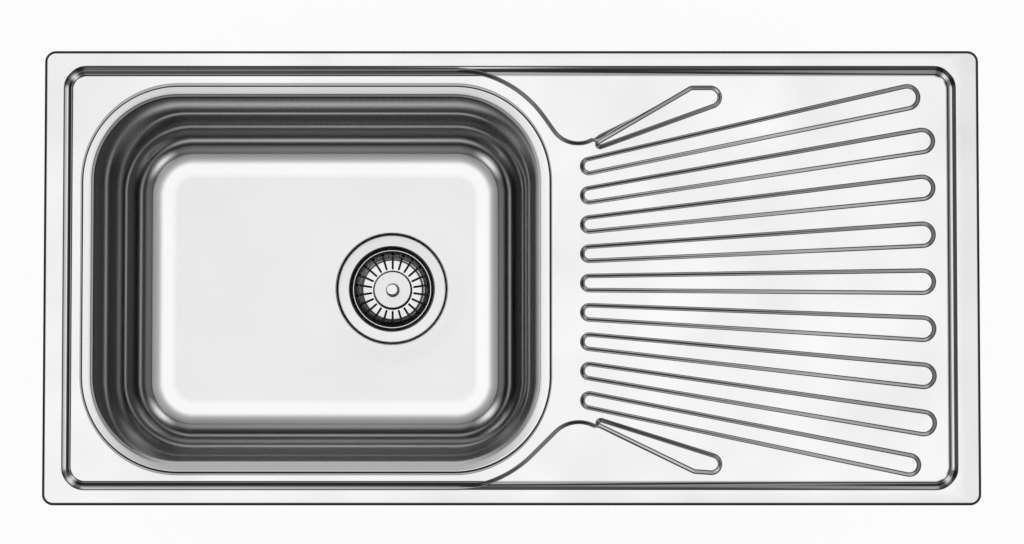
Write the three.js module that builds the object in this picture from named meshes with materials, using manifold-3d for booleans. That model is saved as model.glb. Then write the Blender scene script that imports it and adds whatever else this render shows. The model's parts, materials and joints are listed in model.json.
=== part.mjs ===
// Inset kitchen sink with a drainboard: a deep bowl on the left, a ribbed drainer on the right,
// a basket strainer in the bowl, and the seals and clips that hold the sink in a worktop.
// Millimetres. +X runs from the bowl to the drainer, +Y to the back, +Z up.
// The origin is the middle of the outline, on the worktop's surface.

import * as THREE from 'three';
import { mergeVertices } from 'three/addons/utils/BufferGeometryUtils.js';
import Module from 'manifold-3d';

const wasm = await Module();
wasm.setup();

// ---------------------------------------------------------------- driving dimensions

// fits
const SEAT_GAP = 0.3; // between pieces that touch, or that slide on each other
const BOLT_CLEARANCE = 0.4; // round a bolt, on the radius
const THREAD_CLEARANCE = 0.3; // round a threaded tube, on the radius
const OVERRUN = 4; // blocks reach this far past the surface they are joined to or cut from

// deck
const SHEET = 1; // stainless sheet
const DECK_LENGTH = 940; // 37 inches, along X
const DECK_WIDTH = 457; // 18 inches, along Y
const DECK_CORNER = 11; // corner radius of the outline
const RIM_TOP = 6; // top of the rim above the worktop
const RIM_EDGE_BEND = 2; // where the rim turns down
const SKIRT_LIFT = 0.8; // the turned-down edge stays this far off the worktop
const RIM_LEFT = 19.4; // flat of the rim, from the edge to the border step
const RIM_RIGHT = 22.8;
const RIM_BACK = 15.2;
const RIM_FRONT = 15.6;
const BORDER_CORNER = 23; // corner radius at the top of the border step
const BORDER_STEP_WIDTH = 7.3; // plan width of the border step
const BORDER_STEP_DEPTH = 5;

// drainer
const DRAINER_FALL = 1; // the field's fall from its right end to the bowl
const FALL_END = 20; // from the bowl's right edge to where the field turns level
const RIB_COUNT = 9;
const RIB_HEIGHT = 1.6; // above the field's right end
const RIB_WALL = 3.2; // plan width of a rib's sloping wall
const RIB_LEFT_RADIUS = 9;
const RIB_RIGHT_RADIUS = 13.1;
const RIB_FRONT_RADIUS = 11.6; // right end of the front rib
const RIB_LEFT_PITCH = 29.5;
const RIB_RIGHT_PITCH = 47.3;
const FAN_LEFT_Y = -5.5; // middle rib's left end
const FAN_RIGHT_Y = -4.2; // middle rib's right end
const RIB_BOWL_GAP = 29.8; // from the bowl's seam to the ribs' left tips
const RIB_BORDER_GAP = 13.8; // from the ribs' right tips to the border step
const OUTER_RIB_SHORTER = 14.6; // the first and last ribs stop short by this
const FRONT_RIB_SHIFT = 2.3; // the front rib's right end is drawn in by this

// raised corners beside the bowl: height above the ledge at their left end and at the short rib
const SHOULDER_HIGH = 3.7;
const SHOULDER_LOW = 2.1;
const SHORT_RIB_TIP_HEIGHT = 3.8; // above the ledge
const SHORT_RIB_END_HEIGHT = 2.5;
const SHORT_RIB_OVERRUN = 60; // the raised corner runs on past the short rib, under the field
const BACK_RIB_REACH = 160.9; // from the bowl's right edge to the middle of a short rib's right end
const BACK_RIB_KNEE = 17.6; // from that middle back to where the rib bends
const FRONT_RIB_REACH = 160.7;
const FRONT_RIB_KNEE = 15.4;

// bowl
const BOWL_LENGTH = 473.2;
const BOWL_CORNER = 98;
const BOWL_LEDGE_LEFT = 9.5; // flat between the border step and the seam
const BOWL_LEDGE_BACK = 10.1;
const BOWL_LEDGE_FRONT = 8.2;
const BOWL_DEPTH = 181; // from the ledge to the floor's edge
const BOWL_LAND = 4; // flat of the lip inside the seam
const BOWL_LIP_RADIUS = 10;
const BOWL_DRAFT = 4.5; // degrees
const BOWL_FLOOR_RADIUS = 38; // between wall and floor
const DISH_RADIUS = 100; // the floor falls to the drain inside this circle
const DISH_FALL = 2;
const DRAIN_FROM_RIGHT = 166.4; // from the bowl's right edge to the drain's axis
const SWEEP_GAP = 12; // from the seam to the S-shaped step round the bowl's right corners

// strainer
const RECESS_RADIUS = 58.7;
const RECESS_DEPTH = 3.5;
const RECESS_TAPER = 0.8;
const DRAIN_HOLE_RADIUS = 45.5;
const FLANGE_RADIUS = 57;
const FLANGE_THICKNESS = 1.5;
const FLANGE_SEAL_THICKNESS = 1.5;
const THROAT_RADIUS = 43;
const THROAT_ROUNDING = 3;
const CUP_WALL = 1.5;
const SEAT_DEPTH = 9; // from the flange's top to the ledge that carries the basket
const SEAT_RADIUS = 40; // inside of that ledge
const OUTLET_RADIUS = 19; // bore of the outlet
const OUTLET_WALL = 2.5;
const OUTLET_LENGTH = 21;
const CUP_FLOOR = 2;
const CROSSBAR_WIDTH = 5;
const CROSSBAR_HEIGHT = 4;
const CROSSBAR_DROP = 6; // below the cup's floor
const CROSSBAR_HUB_RADIUS = 6.5;

// basket
const BASKET_SHEET = 0.8;
const BASKET_RIM_RADIUS = 41.7;
const BASKET_RIM_HEIGHT = 1.4;
const BASKET_RIM_CHAMFER = 0.4;
const BASKET_CLEARANCE = 0.8; // inside the seat ledge
const BASKET_DEPTH = 17; // from the seat ledge to the slotted floor
const BASKET_BEND = 9; // between the basket's wall and its floor
const PLATEAU_RADIUS = 19.3;
const PLATEAU_HEIGHT = 5;
const PLATEAU_BEND = 1.4;
const SLOT_COUNT = 22;
const SLOT_INNER = 22;
const SLOT_OUTER = 36.2;
const SLOT_WIDTH = 2.3;
const STEM_RADIUS = 3;
const STEM_ABOVE_PLATEAU = 0.5;
const STEM_NOSE = 2; // the stem's tapered end below the crossbar
const KNOB_RADIUS = 6.4;
const KNOB_HEIGHT = 9;
const STOPPER_RADIUS = 24;
const STOPPER_THICKNESS = 6;
const STEM_NUT_RADIUS = 5.5;
const STEM_NUT_HEIGHT = 3;

// under the bowl
const GASKET_RADIUS = 57;
const GASKET_THICKNESS = 3;
const FRICTION_RING_THICKNESS = 1;
const LOCK_NUT_RADIUS = 55;
const LOCK_NUT_HEIGHT = 9;
const LOCK_NUT_NOTCHES = 12;
const LOCK_NUT_NOTCH_WIDTH = 9;
const LOCK_NUT_NOTCH_DEPTH = 4;
const LOCK_NUT_FLANGE = 2; // thickness above the notches
const TAILPIECE_LENGTH = 100;
const TAILPIECE_RADIUS = 19;
const TAILPIECE_WALL = 1.5;
const TAILPIECE_FLANGE = 21.2;
const TAILPIECE_FLANGE_THICKNESS = 1.5;
const TAIL_WASHER_THICKNESS = 2;
const COUPLING_WALL = 3.5;
const COUPLING_LIP = 2; // thickness of the lip under the tailpiece's flange
const COUPLING_OVERLAP = 12; // how far the nut reaches up the outlet
const COUPLING_RIBS = 12;
const COUPLING_RIB_SIZE = 3;

// fixing
const WORKTOP = 38; // thickness that the clips grip at rest
const CUT_OUT_INSET = 10; // the worktop's cut-out inside the sink's outline
const SEAL_WIDTH = 6.5;
const RAIL_WIDTH = 12;
const RAIL_WALL = 1.2;
const RAIL_FLANGE_EDGE = 15; // the welded flange ends here, from the sink's edge
const RAIL_TOP = -2; // top and bottom of the channel
const RAIL_BOTTOM = -12;
const RAIL_LONG = 800;
const RAIL_SHORT = 330;
const BOLT_RADIUS = 2.5;
const BOLT_HEAD_LENGTH = 12;
const BOLT_HEAD_HEIGHT = 3;
const CLAW_WIDTH = 14;
const CLAW_THICKNESS = 2.5;
const CLAW_TOOTH_HEIGHT = 6;
const CLAW_TOOTH_WIDTH = 2.5;
const CLAW_HEEL_HEIGHT = 3;
const CLAW_HEEL_REACH = 7.7; // from the bolt's axis inwards
const CLAW_TIP_INSET = 1.5; // the tooth's outer face, from the sink's edge
const WASHER_RADIUS = 7.5;
const WASHER_THICKNESS = 1.2;
const NUT_HUB_RADIUS = 5.2;
const NUT_HUB_HEIGHT = 8;
const NUT_WING_SPAN = 26;
const NUT_WING_THICKNESS = 2.2;
const BOLT_BELOW_NUT = 5;
const CLIPS_LONG_SPACING = 290; // three clips on the front rail and on the back rail

// pads
const PAD_THICKNESS = 3;
const PAD_CORNER = 12;
const BOWL_PAD_LENGTH = 115;
const BOWL_PAD_WIDTH = 220;
const BOWL_PAD_EDGE = 10; // from the flat floor's left edge
const DRAINER_PAD_WIDTH = 240;
const DRAINER_PAD_START = 60; // from the bowl's right edge
const DRAINER_PAD_RAIL_GAP = 48; // from the pad to the right rail

// ---------------------------------------------------------------- places worked out from them

const RIM_UNDERSIDE = RIM_TOP - SHEET;
const LEDGE = RIM_TOP - BORDER_STEP_DEPTH;
const FIELD_HIGH = LEDGE + DRAINER_FALL;
const RIB_TOP = FIELD_HIGH + RIB_HEIGHT;
// how far a pressed wall's underside sits sideways from its top, at about 40 degrees
const UNDERSIDE_SHIFT = SHEET * Math.tan(THREE.MathUtils.degToRad(20));

const border = {
  left: -DECK_LENGTH / 2 + RIM_LEFT,
  right: DECK_LENGTH / 2 - RIM_RIGHT,
  back: DECK_WIDTH / 2 - RIM_BACK,
  front: -DECK_WIDTH / 2 + RIM_FRONT,
};
const ledgeBack = border.back - BORDER_STEP_WIDTH;
const ledgeFront = border.front + BORDER_STEP_WIDTH;

const bowlLeft = border.left + BORDER_STEP_WIDTH + BOWL_LEDGE_LEFT;
const bowl = {
  left: bowlLeft,
  right: bowlLeft + BOWL_LENGTH,
  back: ledgeBack - BOWL_LEDGE_BACK,
  front: ledgeFront + BOWL_LEDGE_FRONT,
};
const drain = new THREE.Vector2(bowl.right - DRAIN_FROM_RIGHT, (bowl.back + bowl.front) / 2);

const ribLeftX = bowl.right + RIB_BOWL_GAP + RIB_LEFT_RADIUS;
const ribRightX = border.right - BORDER_STEP_WIDTH - RIB_BORDER_GAP - RIB_RIGHT_RADIUS;
const fallStart = bowl.right + FALL_END;
const fallEnd = ribRightX + RIB_RIGHT_RADIUS;

const floorTop = LEDGE - BOWL_DEPTH;
const dishBottom = floorTop - DISH_FALL;
const recessTop = dishBottom - RECESS_DEPTH;
const recessUnderside = recessTop - SHEET;
const flangeUnderside = recessTop + FLANGE_SEAL_THICKNESS;
const flangeTop = flangeUnderside + FLANGE_THICKNESS;
const seatTop = flangeTop - SEAT_DEPTH;
const basketRimUnderside = seatTop + SEAT_GAP;
const basketFloor = seatTop - BASKET_DEPTH;
const plateauTop = basketFloor + PLATEAU_HEIGHT;
const stopperTop = basketFloor - BASKET_SHEET - SEAT_GAP;
const cupFloorTop = stopperTop - STOPPER_THICKNESS - SEAT_GAP;
const cupUnderside = cupFloorTop - CUP_FLOOR;
const outletEnd = cupUnderside - OUTLET_LENGTH;
const threadRadius = THROAT_RADIUS + CUP_WALL;
const outletOuter = OUTLET_RADIUS + OUTLET_WALL;
const crossbarTop = cupFloorTop - CROSSBAR_DROP;
const tailFlangeTop = outletEnd - TAIL_WASHER_THICKNESS - 2 * SEAT_GAP;

const sealInset = RIM_EDGE_BEND + SHEET;
const railOuter = CUT_OUT_INSET + SEAT_GAP;
const railInner = railOuter + RAIL_WIDTH;
const boltInset = (railOuter + railInner) / 2;
const clawTop = -WORKTOP;
const clawPlateTop = clawTop - CLAW_TOOTH_HEIGHT;
const clawUnderside = clawPlateTop - CLAW_THICKNESS;
const washerTop = clawUnderside - SEAT_GAP;
const nutTop = washerTop - WASHER_THICKNESS - SEAT_GAP;
const nutBottom = nutTop - NUT_HUB_HEIGHT;
const boltEnd = nutBottom - BOLT_BELOW_NUT;

// ---------------------------------------------------------------- shape helpers

// angle that one straight facet covers on large corners, on ribs and on slots
const ARC_STEP = Math.PI / 14;
const RIB_ARC_STEP = Math.PI / 8;
const SLOT_ARC_STEP = Math.PI / 3;

const point = (x, y) => new THREE.Vector2(x, y);

function arc(centre, radius, from, to, step = ARC_STEP) {
  const steps = Math.max(1, Math.ceil(Math.abs(to - from) / step - 1e-6));
  const points = [];
  for (let i = 0; i <= steps; i += 1) {
    const angle = from + ((to - from) * i) / steps;
    points.push(point(centre.x + radius * Math.cos(angle), centre.y + radius * Math.sin(angle)));
  }
  return points;
}

// The outline drawn tight round some circles, given counterclockwise. A change of offset
// moves the outline sideways and keeps its number of points.
function roundedHull(circles, offset = 0, step = ARC_STEP) {
  const count = circles.length;
  const normals = circles.map((circle, i) => {
    const next = circles[(i + 1) % count];
    const along = Math.atan2(next.y - circle.y, next.x - circle.x);
    const apart = Math.hypot(next.x - circle.x, next.y - circle.y);
    return along - Math.acos((circle.r - next.r) / apart);
  });
  return circles.flatMap((circle, i) => {
    const from = normals[(i + count - 1) % count];
    let to = normals[i];
    while (to < from) {
      to += 2 * Math.PI;
    }
    return arc(circle, circle.r + offset, from, to, step);
  });
}

function rectangleCircles({ left, right, back, front }, r) {
  return [
    { x: right - r, y: front + r, r },
    { x: right - r, y: back - r, r },
    { x: left + r, y: back - r, r },
    { x: left + r, y: front + r, r },
  ];
}

// A level ring at z, or a sloping one where z is a function of the point.
function ring(points, z) {
  return points.map((p) => new THREE.Vector3(p.x, p.y, typeof z === 'function' ? z(p) : z));
}

function circle(centre, radius, segments = 36) {
  const points = [];
  for (let i = 0; i < segments; i += 1) {
    const angle = (2 * Math.PI * i) / segments;
    points.push(point(centre.x + radius * Math.cos(angle), centre.y + radius * Math.sin(angle)));
  }
  return points;
}

// Collects the faces of one closed solid.
class Skin {
  constructor() {
    this.positions = [];
  }

  face(a, b, c) {
    this.positions.push(...a.toArray(), ...b.toArray(), ...c.toArray());
  }

  // Rings run counterclockwise; the face looks outwards where the second ring is the upper one.
  band(first, second) {
    first.forEach((a, i) => {
      const j = (i + 1) % first.length;
      this.face(a, first[j], second[j]);
      this.face(a, second[j], second[i]);
    });
  }

  cap(outer, holes, up) {
    const all = [outer, ...holes].flat();
    const flat = (r) => r.map((p) => point(p.x, p.y));
    for (const [i, j, k] of THREE.ShapeUtils.triangulateShape(flat(outer), holes.map(flat))) {
      const [a, b, c] = [all[i], all[j], all[k]];
      const turn = (b.x - a.x) * (c.y - a.y) - (b.y - a.y) * (c.x - a.x);
      if (turn > 0 === up) {
        this.face(a, b, c);
      } else {
        this.face(a, c, b);
      }
    }
  }

  geometry() {
    const geometry = new THREE.BufferGeometry();
    geometry.setAttribute('position', new THREE.Float32BufferAttribute(this.positions, 3));
    return geometry;
  }
}

// A closed solid through rings of equal length, listed from the bottom up.
function stack(rings) {
  const skin = new Skin();
  skin.cap(rings[0], [], false);
  for (let i = 1; i < rings.length; i += 1) {
    skin.band(rings[i - 1], rings[i]);
  }
  skin.cap(rings[rings.length - 1], [], true);
  return skin.geometry();
}

function solid(geometry) {
  const bare = geometry.clone();
  bare.deleteAttribute('normal');
  bare.deleteAttribute('uv');
  const merged = mergeVertices(bare, 1e-4);
  return new wasm.Manifold(
    new wasm.Mesh({
      numProp: 3,
      vertProperties: merged.attributes.position.array,
      triVerts: new Uint32Array(merged.index.array),
    }),
  );
}

function shape(manifold) {
  const mesh = manifold.getMesh();
  const geometry = new THREE.BufferGeometry();
  geometry.setAttribute('position', new THREE.BufferAttribute(mesh.vertProperties, 3));
  geometry.setIndex(new THREE.BufferAttribute(mesh.triVerts, 1));
  return geometry;
}

const joined = (first, ...rest) => shape(rest.reduce((sum, g) => sum.add(solid(g)), solid(first)));
const cut = (first, ...rest) => shape(rest.reduce((sum, g) => sum.subtract(solid(g)), solid(first)));

function box(x0, x1, y0, y1, z0, z1) {
  const geometry = new THREE.BoxGeometry(x1 - x0, y1 - y0, z1 - z0);
  return geometry.translate((x0 + x1) / 2, (y0 + y1) / 2, (z0 + z1) / 2);
}

// A bar with its section in the Y-Z plane, lengthwise along X and centred on x = 0.
function bar(section, length) {
  const outline = new THREE.Shape(section.map(([y, z]) => point(y, z)));
  const geometry = new THREE.ExtrudeGeometry(outline, { depth: length, bevelEnabled: false });
  const turn = new THREE.Matrix4().makeBasis(
    new THREE.Vector3(0, 1, 0),
    new THREE.Vector3(0, 0, 1),
    new THREE.Vector3(1, 0, 0),
  );
  return geometry.applyMatrix4(turn).translate(-length / 2, 0, 0);
}

// A turned piece round the vertical line through a centre. The profile's [radius, z] points
// run with the material on their left; it closes on itself unless both ends are on the axis.
function turned(profile, centre, segments = 36) {
  const points = profile.map(([r, z]) => point(r, z));
  if (profile[0][0] > 0 || profile[profile.length - 1][0] > 0) {
    points.push(points[0].clone());
  }
  const geometry = new THREE.LatheGeometry(points, segments);
  return geometry.rotateX(Math.PI / 2).translate(centre.x, centre.y, 0);
}

const washerProfile = (inner, outer, bottom, top) => [
  [inner, bottom],
  [outer, bottom],
  [outer, top],
  [inner, top],
];

const ramp = (x, x0, x1, z0, z1) => z0 + (z1 - z0) * THREE.MathUtils.clamp((x - x0) / (x1 - x0), 0, 1);

// ---------------------------------------------------------------- deck

const fieldHeight = (x) => ramp(x, fallStart, fallEnd, LEDGE, FIELD_HIGH);

// The two raised corners beside the bowl, each with its short rib. Distances run to the right
// of the bowl, and inwards from the foot of the border step.
const corners = {
  back: {
    side: 1,
    edge: ledgeBack,
    bowlCentre: { x: bowl.right - BOWL_CORNER, y: bowl.back - BOWL_CORNER },
    sweep: { right: 27.6, inward: 41, radius: 31.3, endAngle: -61 },
    tip: { right: 49.9, inward: 71.4, radius: 4.6 },
    end: { right: BACK_RIB_REACH, inward: 23.9, radius: 11.3 },
    knee: { right: BACK_RIB_REACH - BACK_RIB_KNEE, inward: 20.7, radius: 8 },
  },
  front: {
    side: -1,
    edge: ledgeFront,
    bowlCentre: { x: bowl.right - BOWL_CORNER, y: bowl.front + BOWL_CORNER },
    sweep: { right: 28.1, inward: 27.1, radius: 35, endAngle: -63 },
    tip: { right: 50.1, inward: 59.4, radius: 4.8 },
    end: { right: FRONT_RIB_REACH, inward: 18.5, radius: 10.6 },
    knee: { right: FRONT_RIB_REACH - FRONT_RIB_KNEE, inward: 17.5, radius: 8.5 },
  },
};

const place = (corner, { right, inward, radius }) => ({
  x: bowl.right + right,
  y: corner.edge - corner.side * inward,
  r: radius,
});

// The S-shaped step: an arc round the bowl's corner, a straight, and an arc the other way.
// It is worked out for the back, and mirrored for the front.
function sweepPoints(corner, offset) {
  const mirror = (p) => point(p.x, p.y * corner.side);
  const first = mirror(corner.bowlCentre);
  const second = mirror(place(corner, corner.sweep));
  const firstRadius = BOWL_CORNER + SWEEP_GAP + offset;
  const secondRadius = corner.sweep.radius - offset;
  const between = second.clone().sub(first);
  const turn = between.angle() + Math.acos((firstRadius + secondRadius) / between.length());
  const end = THREE.MathUtils.degToRad(corner.sweep.endAngle);
  return [
    ...arc(first, firstRadius, Math.PI / 2, turn),
    ...arc(second, secondRadius, turn - Math.PI, end),
  ].map(mirror);
}

function shoulderHeight(x, corner) {
  const tip = place(corner, corner.tip);
  const end = place(corner, corner.end);
  if (x < tip.x) {
    return ramp(x, bowl.right - BOWL_CORNER, tip.x, LEDGE + SHOULDER_HIGH, LEDGE + SHOULDER_LOW);
  }
  return ramp(x, tip.x, end.x + end.r, LEDGE + SHOULDER_LOW, fieldHeight(end.x + end.r));
}

function shoulder(corner, drop) {
  const tip = place(corner, corner.tip);
  const end = place(corner, corner.end);
  const beyond = corner.edge + corner.side * (BORDER_STEP_WIDTH + OVERRUN);
  const rest = [point(tip.x, tip.y), point(end.x, end.y), point(end.x + end.r, beyond)];
  const shift = drop ? UNDERSIDE_SHIFT : 0;
  const outline = (offset) => {
    const sweep = sweepPoints(corner, offset);
    const points = [point(sweep[0].x, beyond), ...sweep, ...rest];
    return corner.side > 0 ? points : points.reverse();
  };
  const body = stack([
    ring(outline(shift), LEDGE - drop - OVERRUN),
    ring(outline(shift), LEDGE - drop),
    ring(outline(shift + RIB_WALL), RIM_TOP - drop),
  ]);
  const first = bowl.right - BOWL_CORNER;
  const stations = [first - OVERRUN, first, tip.x, end.x + end.r];
  const top = stations.map((x) => [x, shoulderHeight(x, corner) - drop]);
  const last = end.x + end.r + SHORT_RIB_OVERRUN;
  const profile = [
    [last, LEDGE - 2 * OVERRUN],
    [last, fieldHeight(last) - drop - 1],
    ...top.reverse(),
    [stations[0], LEDGE - 2 * OVERRUN],
  ];
  const below = new THREE.ExtrudeGeometry(new THREE.Shape(profile.map(([x, z]) => point(x, z))), {
    depth: DECK_WIDTH,
    bevelEnabled: false,
  });
  below.rotateX(Math.PI / 2).translate(0, DECK_WIDTH / 2, 0);
  return solid(body).intersect(solid(below));
}

function rib(circles, drop, topHeight) {
  const shift = drop ? -UNDERSIDE_SHIFT : 0;
  const foot = ({ x }) => fieldHeight(x) - drop;
  const outline = (offset) => roundedHull(circles, offset, RIB_ARC_STEP);
  return solid(
    stack([
      ring(outline(shift), (p) => foot(p) - OVERRUN),
      ring(outline(shift), foot),
      ring(outline(shift - RIB_WALL), (p) => topHeight(p.x) - drop),
    ]),
  );
}

function longRibCircles(index) {
  const fromMiddle = (RIB_COUNT - 1) / 2 - index;
  const left = { x: ribLeftX, y: FAN_LEFT_Y + fromMiddle * RIB_LEFT_PITCH, r: RIB_LEFT_RADIUS };
  const right = { x: ribRightX, y: FAN_RIGHT_Y + fromMiddle * RIB_RIGHT_PITCH, r: RIB_RIGHT_RADIUS };
  const outermost = index === 0 || index === RIB_COUNT - 1;
  if (outermost) {
    const share = OUTER_RIB_SHORTER / (right.x - left.x);
    right.x -= OUTER_RIB_SHORTER;
    right.y -= (right.y - left.y) * share;
  }
  if (index === RIB_COUNT - 1) {
    right.r = RIB_FRONT_RADIUS;
    right.y += FRONT_RIB_SHIFT;
  }
  return [left, right];
}

function shortRibCircles(corner) {
  const circles = [place(corner, corner.tip), place(corner, corner.end), place(corner, corner.knee)];
  return corner.side > 0 ? circles : circles.reverse();
}

// The deck as if it were solid below its surface; drop gives the sheet's underside.
function pressing(drop, bottom) {
  const outline = rectangleCircles(
    { left: -DECK_LENGTH / 2, right: DECK_LENGTH / 2, back: DECK_WIDTH / 2, front: -DECK_WIDTH / 2 },
    DECK_CORNER,
  );
  // the edge's bend in two facets, its middle and its end shifted by the sheet's thickness
  const bendMiddle = 0.3 * RIM_EDGE_BEND;
  let body = solid(
    stack([
      ring(roundedHull(outline, -drop), bottom),
      ring(roundedHull(outline, -drop), RIM_TOP - RIM_EDGE_BEND),
      ring(roundedHull(outline, -bendMiddle - drop), RIM_TOP - bendMiddle - 0.7 * drop),
      ring(roundedHull(outline, -RIM_EDGE_BEND - 0.4 * drop), RIM_TOP - drop),
    ]),
  );

  const pocket = rectangleCircles(border, BORDER_CORNER);
  const shift = drop ? UNDERSIDE_SHIFT : 0;
  const wall = (share) => ring(roundedHull(pocket, shift - share * BORDER_STEP_WIDTH), 0);
  const at = (points, z) => points.map((p) => p.clone().setZ(z - drop));
  const hollow = solid(
    stack([
      at(wall(1), LEDGE - OVERRUN),
      at(wall(1), LEDGE),
      at(wall(0.8), LEDGE + 0.1 * BORDER_STEP_DEPTH),
      at(wall(0.4), RIM_TOP - 0.2 * BORDER_STEP_DEPTH),
      at(wall(0), RIM_TOP),
      at(wall(0), RIM_TOP + OVERRUN),
    ]),
  );
  const field = new THREE.Shape([
    point(-DECK_LENGTH, LEDGE - drop),
    point(fallStart, LEDGE - drop),
    point(fallEnd, FIELD_HIGH - drop),
    point(DECK_LENGTH, FIELD_HIGH - drop),
    point(DECK_LENGTH, RIM_TOP + 2 * OVERRUN),
    point(-DECK_LENGTH, RIM_TOP + 2 * OVERRUN),
  ]);
  const aboveField = new THREE.ExtrudeGeometry(field, { depth: 2 * DECK_WIDTH, bevelEnabled: false });
  aboveField.rotateX(Math.PI / 2).translate(0, DECK_WIDTH, 0);
  body = body.subtract(hollow.intersect(solid(aboveField)));

  for (const corner of Object.values(corners)) {
    const tip = place(corner, corner.tip);
    const end = place(corner, corner.end);
    const tipTop = LEDGE + SHORT_RIB_TIP_HEIGHT;
    const endTop = LEDGE + SHORT_RIB_END_HEIGHT;
    const height = (x) => ramp(x, tip.x, end.x, tipTop, endTop);
    body = body.add(shoulder(corner, drop)).add(rib(shortRibCircles(corner), drop, height));
  }
  for (let i = 0; i < RIB_COUNT; i += 1) {
    body = body.add(rib(longRibCircles(i), drop, () => RIB_TOP));
  }
  return body;
}

function drainerDeck() {
  const deep = LEDGE - 3 * OVERRUN;
  const below = deep - OVERRUN;
  const sheet = pressing(0, deep).subtract(pressing(SHEET, below));
  const seam = roundedHull(rectangleCircles(bowl, BOWL_CORNER));
  const opening = stack([ring(seam, deep), ring(seam, RIM_TOP + OVERRUN)]);
  // the turned-down edge is trimmed to stop just above the worktop
  const big = box(-DECK_LENGTH, DECK_LENGTH, -DECK_WIDTH, DECK_WIDTH, below, SKIRT_LIFT);
  const inside = roundedHull(rectangleCircles(border, BORDER_CORNER), OVERRUN);
  const keep = stack([ring(inside, below - OVERRUN), ring(inside, SKIRT_LIFT + OVERRUN)]);
  return shape(sheet.subtract(solid(opening)).subtract(solid(big).subtract(solid(keep))));
}

// ---------------------------------------------------------------- bowl

// Points of the bowl's inner face as [inset from the seam, z, slope angle downwards].
function bowlProfile() {
  const steep = Math.PI / 2 - THREE.MathUtils.degToRad(BOWL_DRAFT);
  const points = [[SEAT_GAP, LEDGE, 0], [BOWL_LAND, LEDGE, 0]];
  const lipSteps = 5;
  for (let i = 1; i <= lipSteps; i += 1) {
    const a = (steep * i) / lipSteps;
    points.push([
      BOWL_LAND + BOWL_LIP_RADIUS * Math.sin(a),
      LEDGE - BOWL_LIP_RADIUS * (1 - Math.cos(a)),
      a,
    ]);
  }
  const [lipInset, lipZ] = points[points.length - 1];
  const filletTop = floorTop + BOWL_FLOOR_RADIUS * (1 - Math.cos(steep));
  const wallInset = lipInset + (lipZ - filletTop) * Math.tan(THREE.MathUtils.degToRad(BOWL_DRAFT));
  const edgeInset = wallInset + BOWL_FLOOR_RADIUS * Math.sin(steep);
  const floorSteps = 7;
  for (let i = 0; i <= floorSteps; i += 1) {
    const a = steep * (1 - i / floorSteps);
    points.push([
      edgeInset - BOWL_FLOOR_RADIUS * Math.sin(a),
      floorTop + BOWL_FLOOR_RADIUS * (1 - Math.cos(a)),
      a,
    ]);
  }
  return points;
}

const floorInset = bowlProfile().at(-1)[0];

function bowlShell() {
  const corner = rectangleCircles(bowl, BOWL_CORNER);
  const profile = bowlProfile();
  const inner = profile.map(([inset, z]) => ring(roundedHull(corner, -inset), z));
  const outer = profile.map(([inset, z, a]) =>
    ring(roundedHull(corner, -inset + SHEET * Math.sin(a)), z - SHEET * Math.cos(a)),
  );
  const round = (radius, z) => ring(circle(drain, radius), z);
  const skin = new Skin();
  const walk = (rings) => rings.slice(1).forEach((r, i) => skin.band(rings[i], r));
  const dishOuter = round(DISH_RADIUS, floorTop - SHEET);
  const dishInner = round(DISH_RADIUS, floorTop);
  // underside from the drain hole outwards, up the outside, over the lip and back down
  walk([
    round(DRAIN_HOLE_RADIUS, recessTop),
    round(DRAIN_HOLE_RADIUS, recessUnderside),
    round(RECESS_RADIUS + SHEET, recessUnderside),
    round(RECESS_RADIUS + SHEET, dishBottom - SHEET),
    dishOuter,
  ]);
  skin.cap(outer.at(-1), [dishOuter], false);
  walk([...outer].reverse());
  walk([outer[0], ...inner]);
  skin.cap(inner.at(-1), [dishInner], true);
  walk([
    dishInner,
    round(RECESS_RADIUS, dishBottom),
    round(RECESS_RADIUS - RECESS_TAPER, recessTop),
    round(DRAIN_HOLE_RADIUS, recessTop),
  ]);
  return skin.geometry();
}

// ---------------------------------------------------------------- strainer

function strainerBody() {
  const rounding = [];
  const roundingSteps = 3;
  for (let i = 0; i <= roundingSteps; i += 1) {
    const a = (Math.PI / 2) * (i / roundingSteps);
    rounding.push([
      THROAT_RADIUS + THROAT_ROUNDING * (1 - Math.sin(a)),
      flangeTop - THROAT_ROUNDING * (1 - Math.cos(a)),
    ]);
  }
  const cup = turned(
    [
      [OUTLET_RADIUS, outletEnd],
      [outletOuter, outletEnd],
      [outletOuter, cupUnderside],
      [threadRadius - 4, cupUnderside],
      [threadRadius, cupUnderside + 4],
      [threadRadius, flangeUnderside],
      [FLANGE_RADIUS - 0.5, flangeUnderside],
      [FLANGE_RADIUS, flangeUnderside + 0.5],
      [FLANGE_RADIUS - 0.7, flangeTop],
      ...rounding,
      [THROAT_RADIUS, seatTop],
      [SEAT_RADIUS, seatTop],
      [SEAT_RADIUS, cupFloorTop + 3],
      [SEAT_RADIUS - 3, cupFloorTop],
      [OUTLET_RADIUS, cupFloorTop],
    ],
    drain,
  );
  const crossbarBottom = crossbarTop - CROSSBAR_HEIGHT;
  const hubBore = STEM_RADIUS + BOLT_CLEARANCE;
  const hub = turned(washerProfile(hubBore, CROSSBAR_HUB_RADIUS, crossbarBottom, crossbarTop), drain, 24);
  const reach = OUTLET_RADIUS + OUTLET_WALL / 2;
  const arm = (sign) => {
    const near = drain.x + sign * (CROSSBAR_HUB_RADIUS - 1);
    const far = drain.x + sign * reach;
    const half = CROSSBAR_WIDTH / 2;
    return box(
      Math.min(near, far),
      Math.max(near, far),
      drain.y - half,
      drain.y + half,
      crossbarBottom,
      crossbarTop,
    );
  };
  return joined(cup, hub, arm(1), arm(-1));
}

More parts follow.
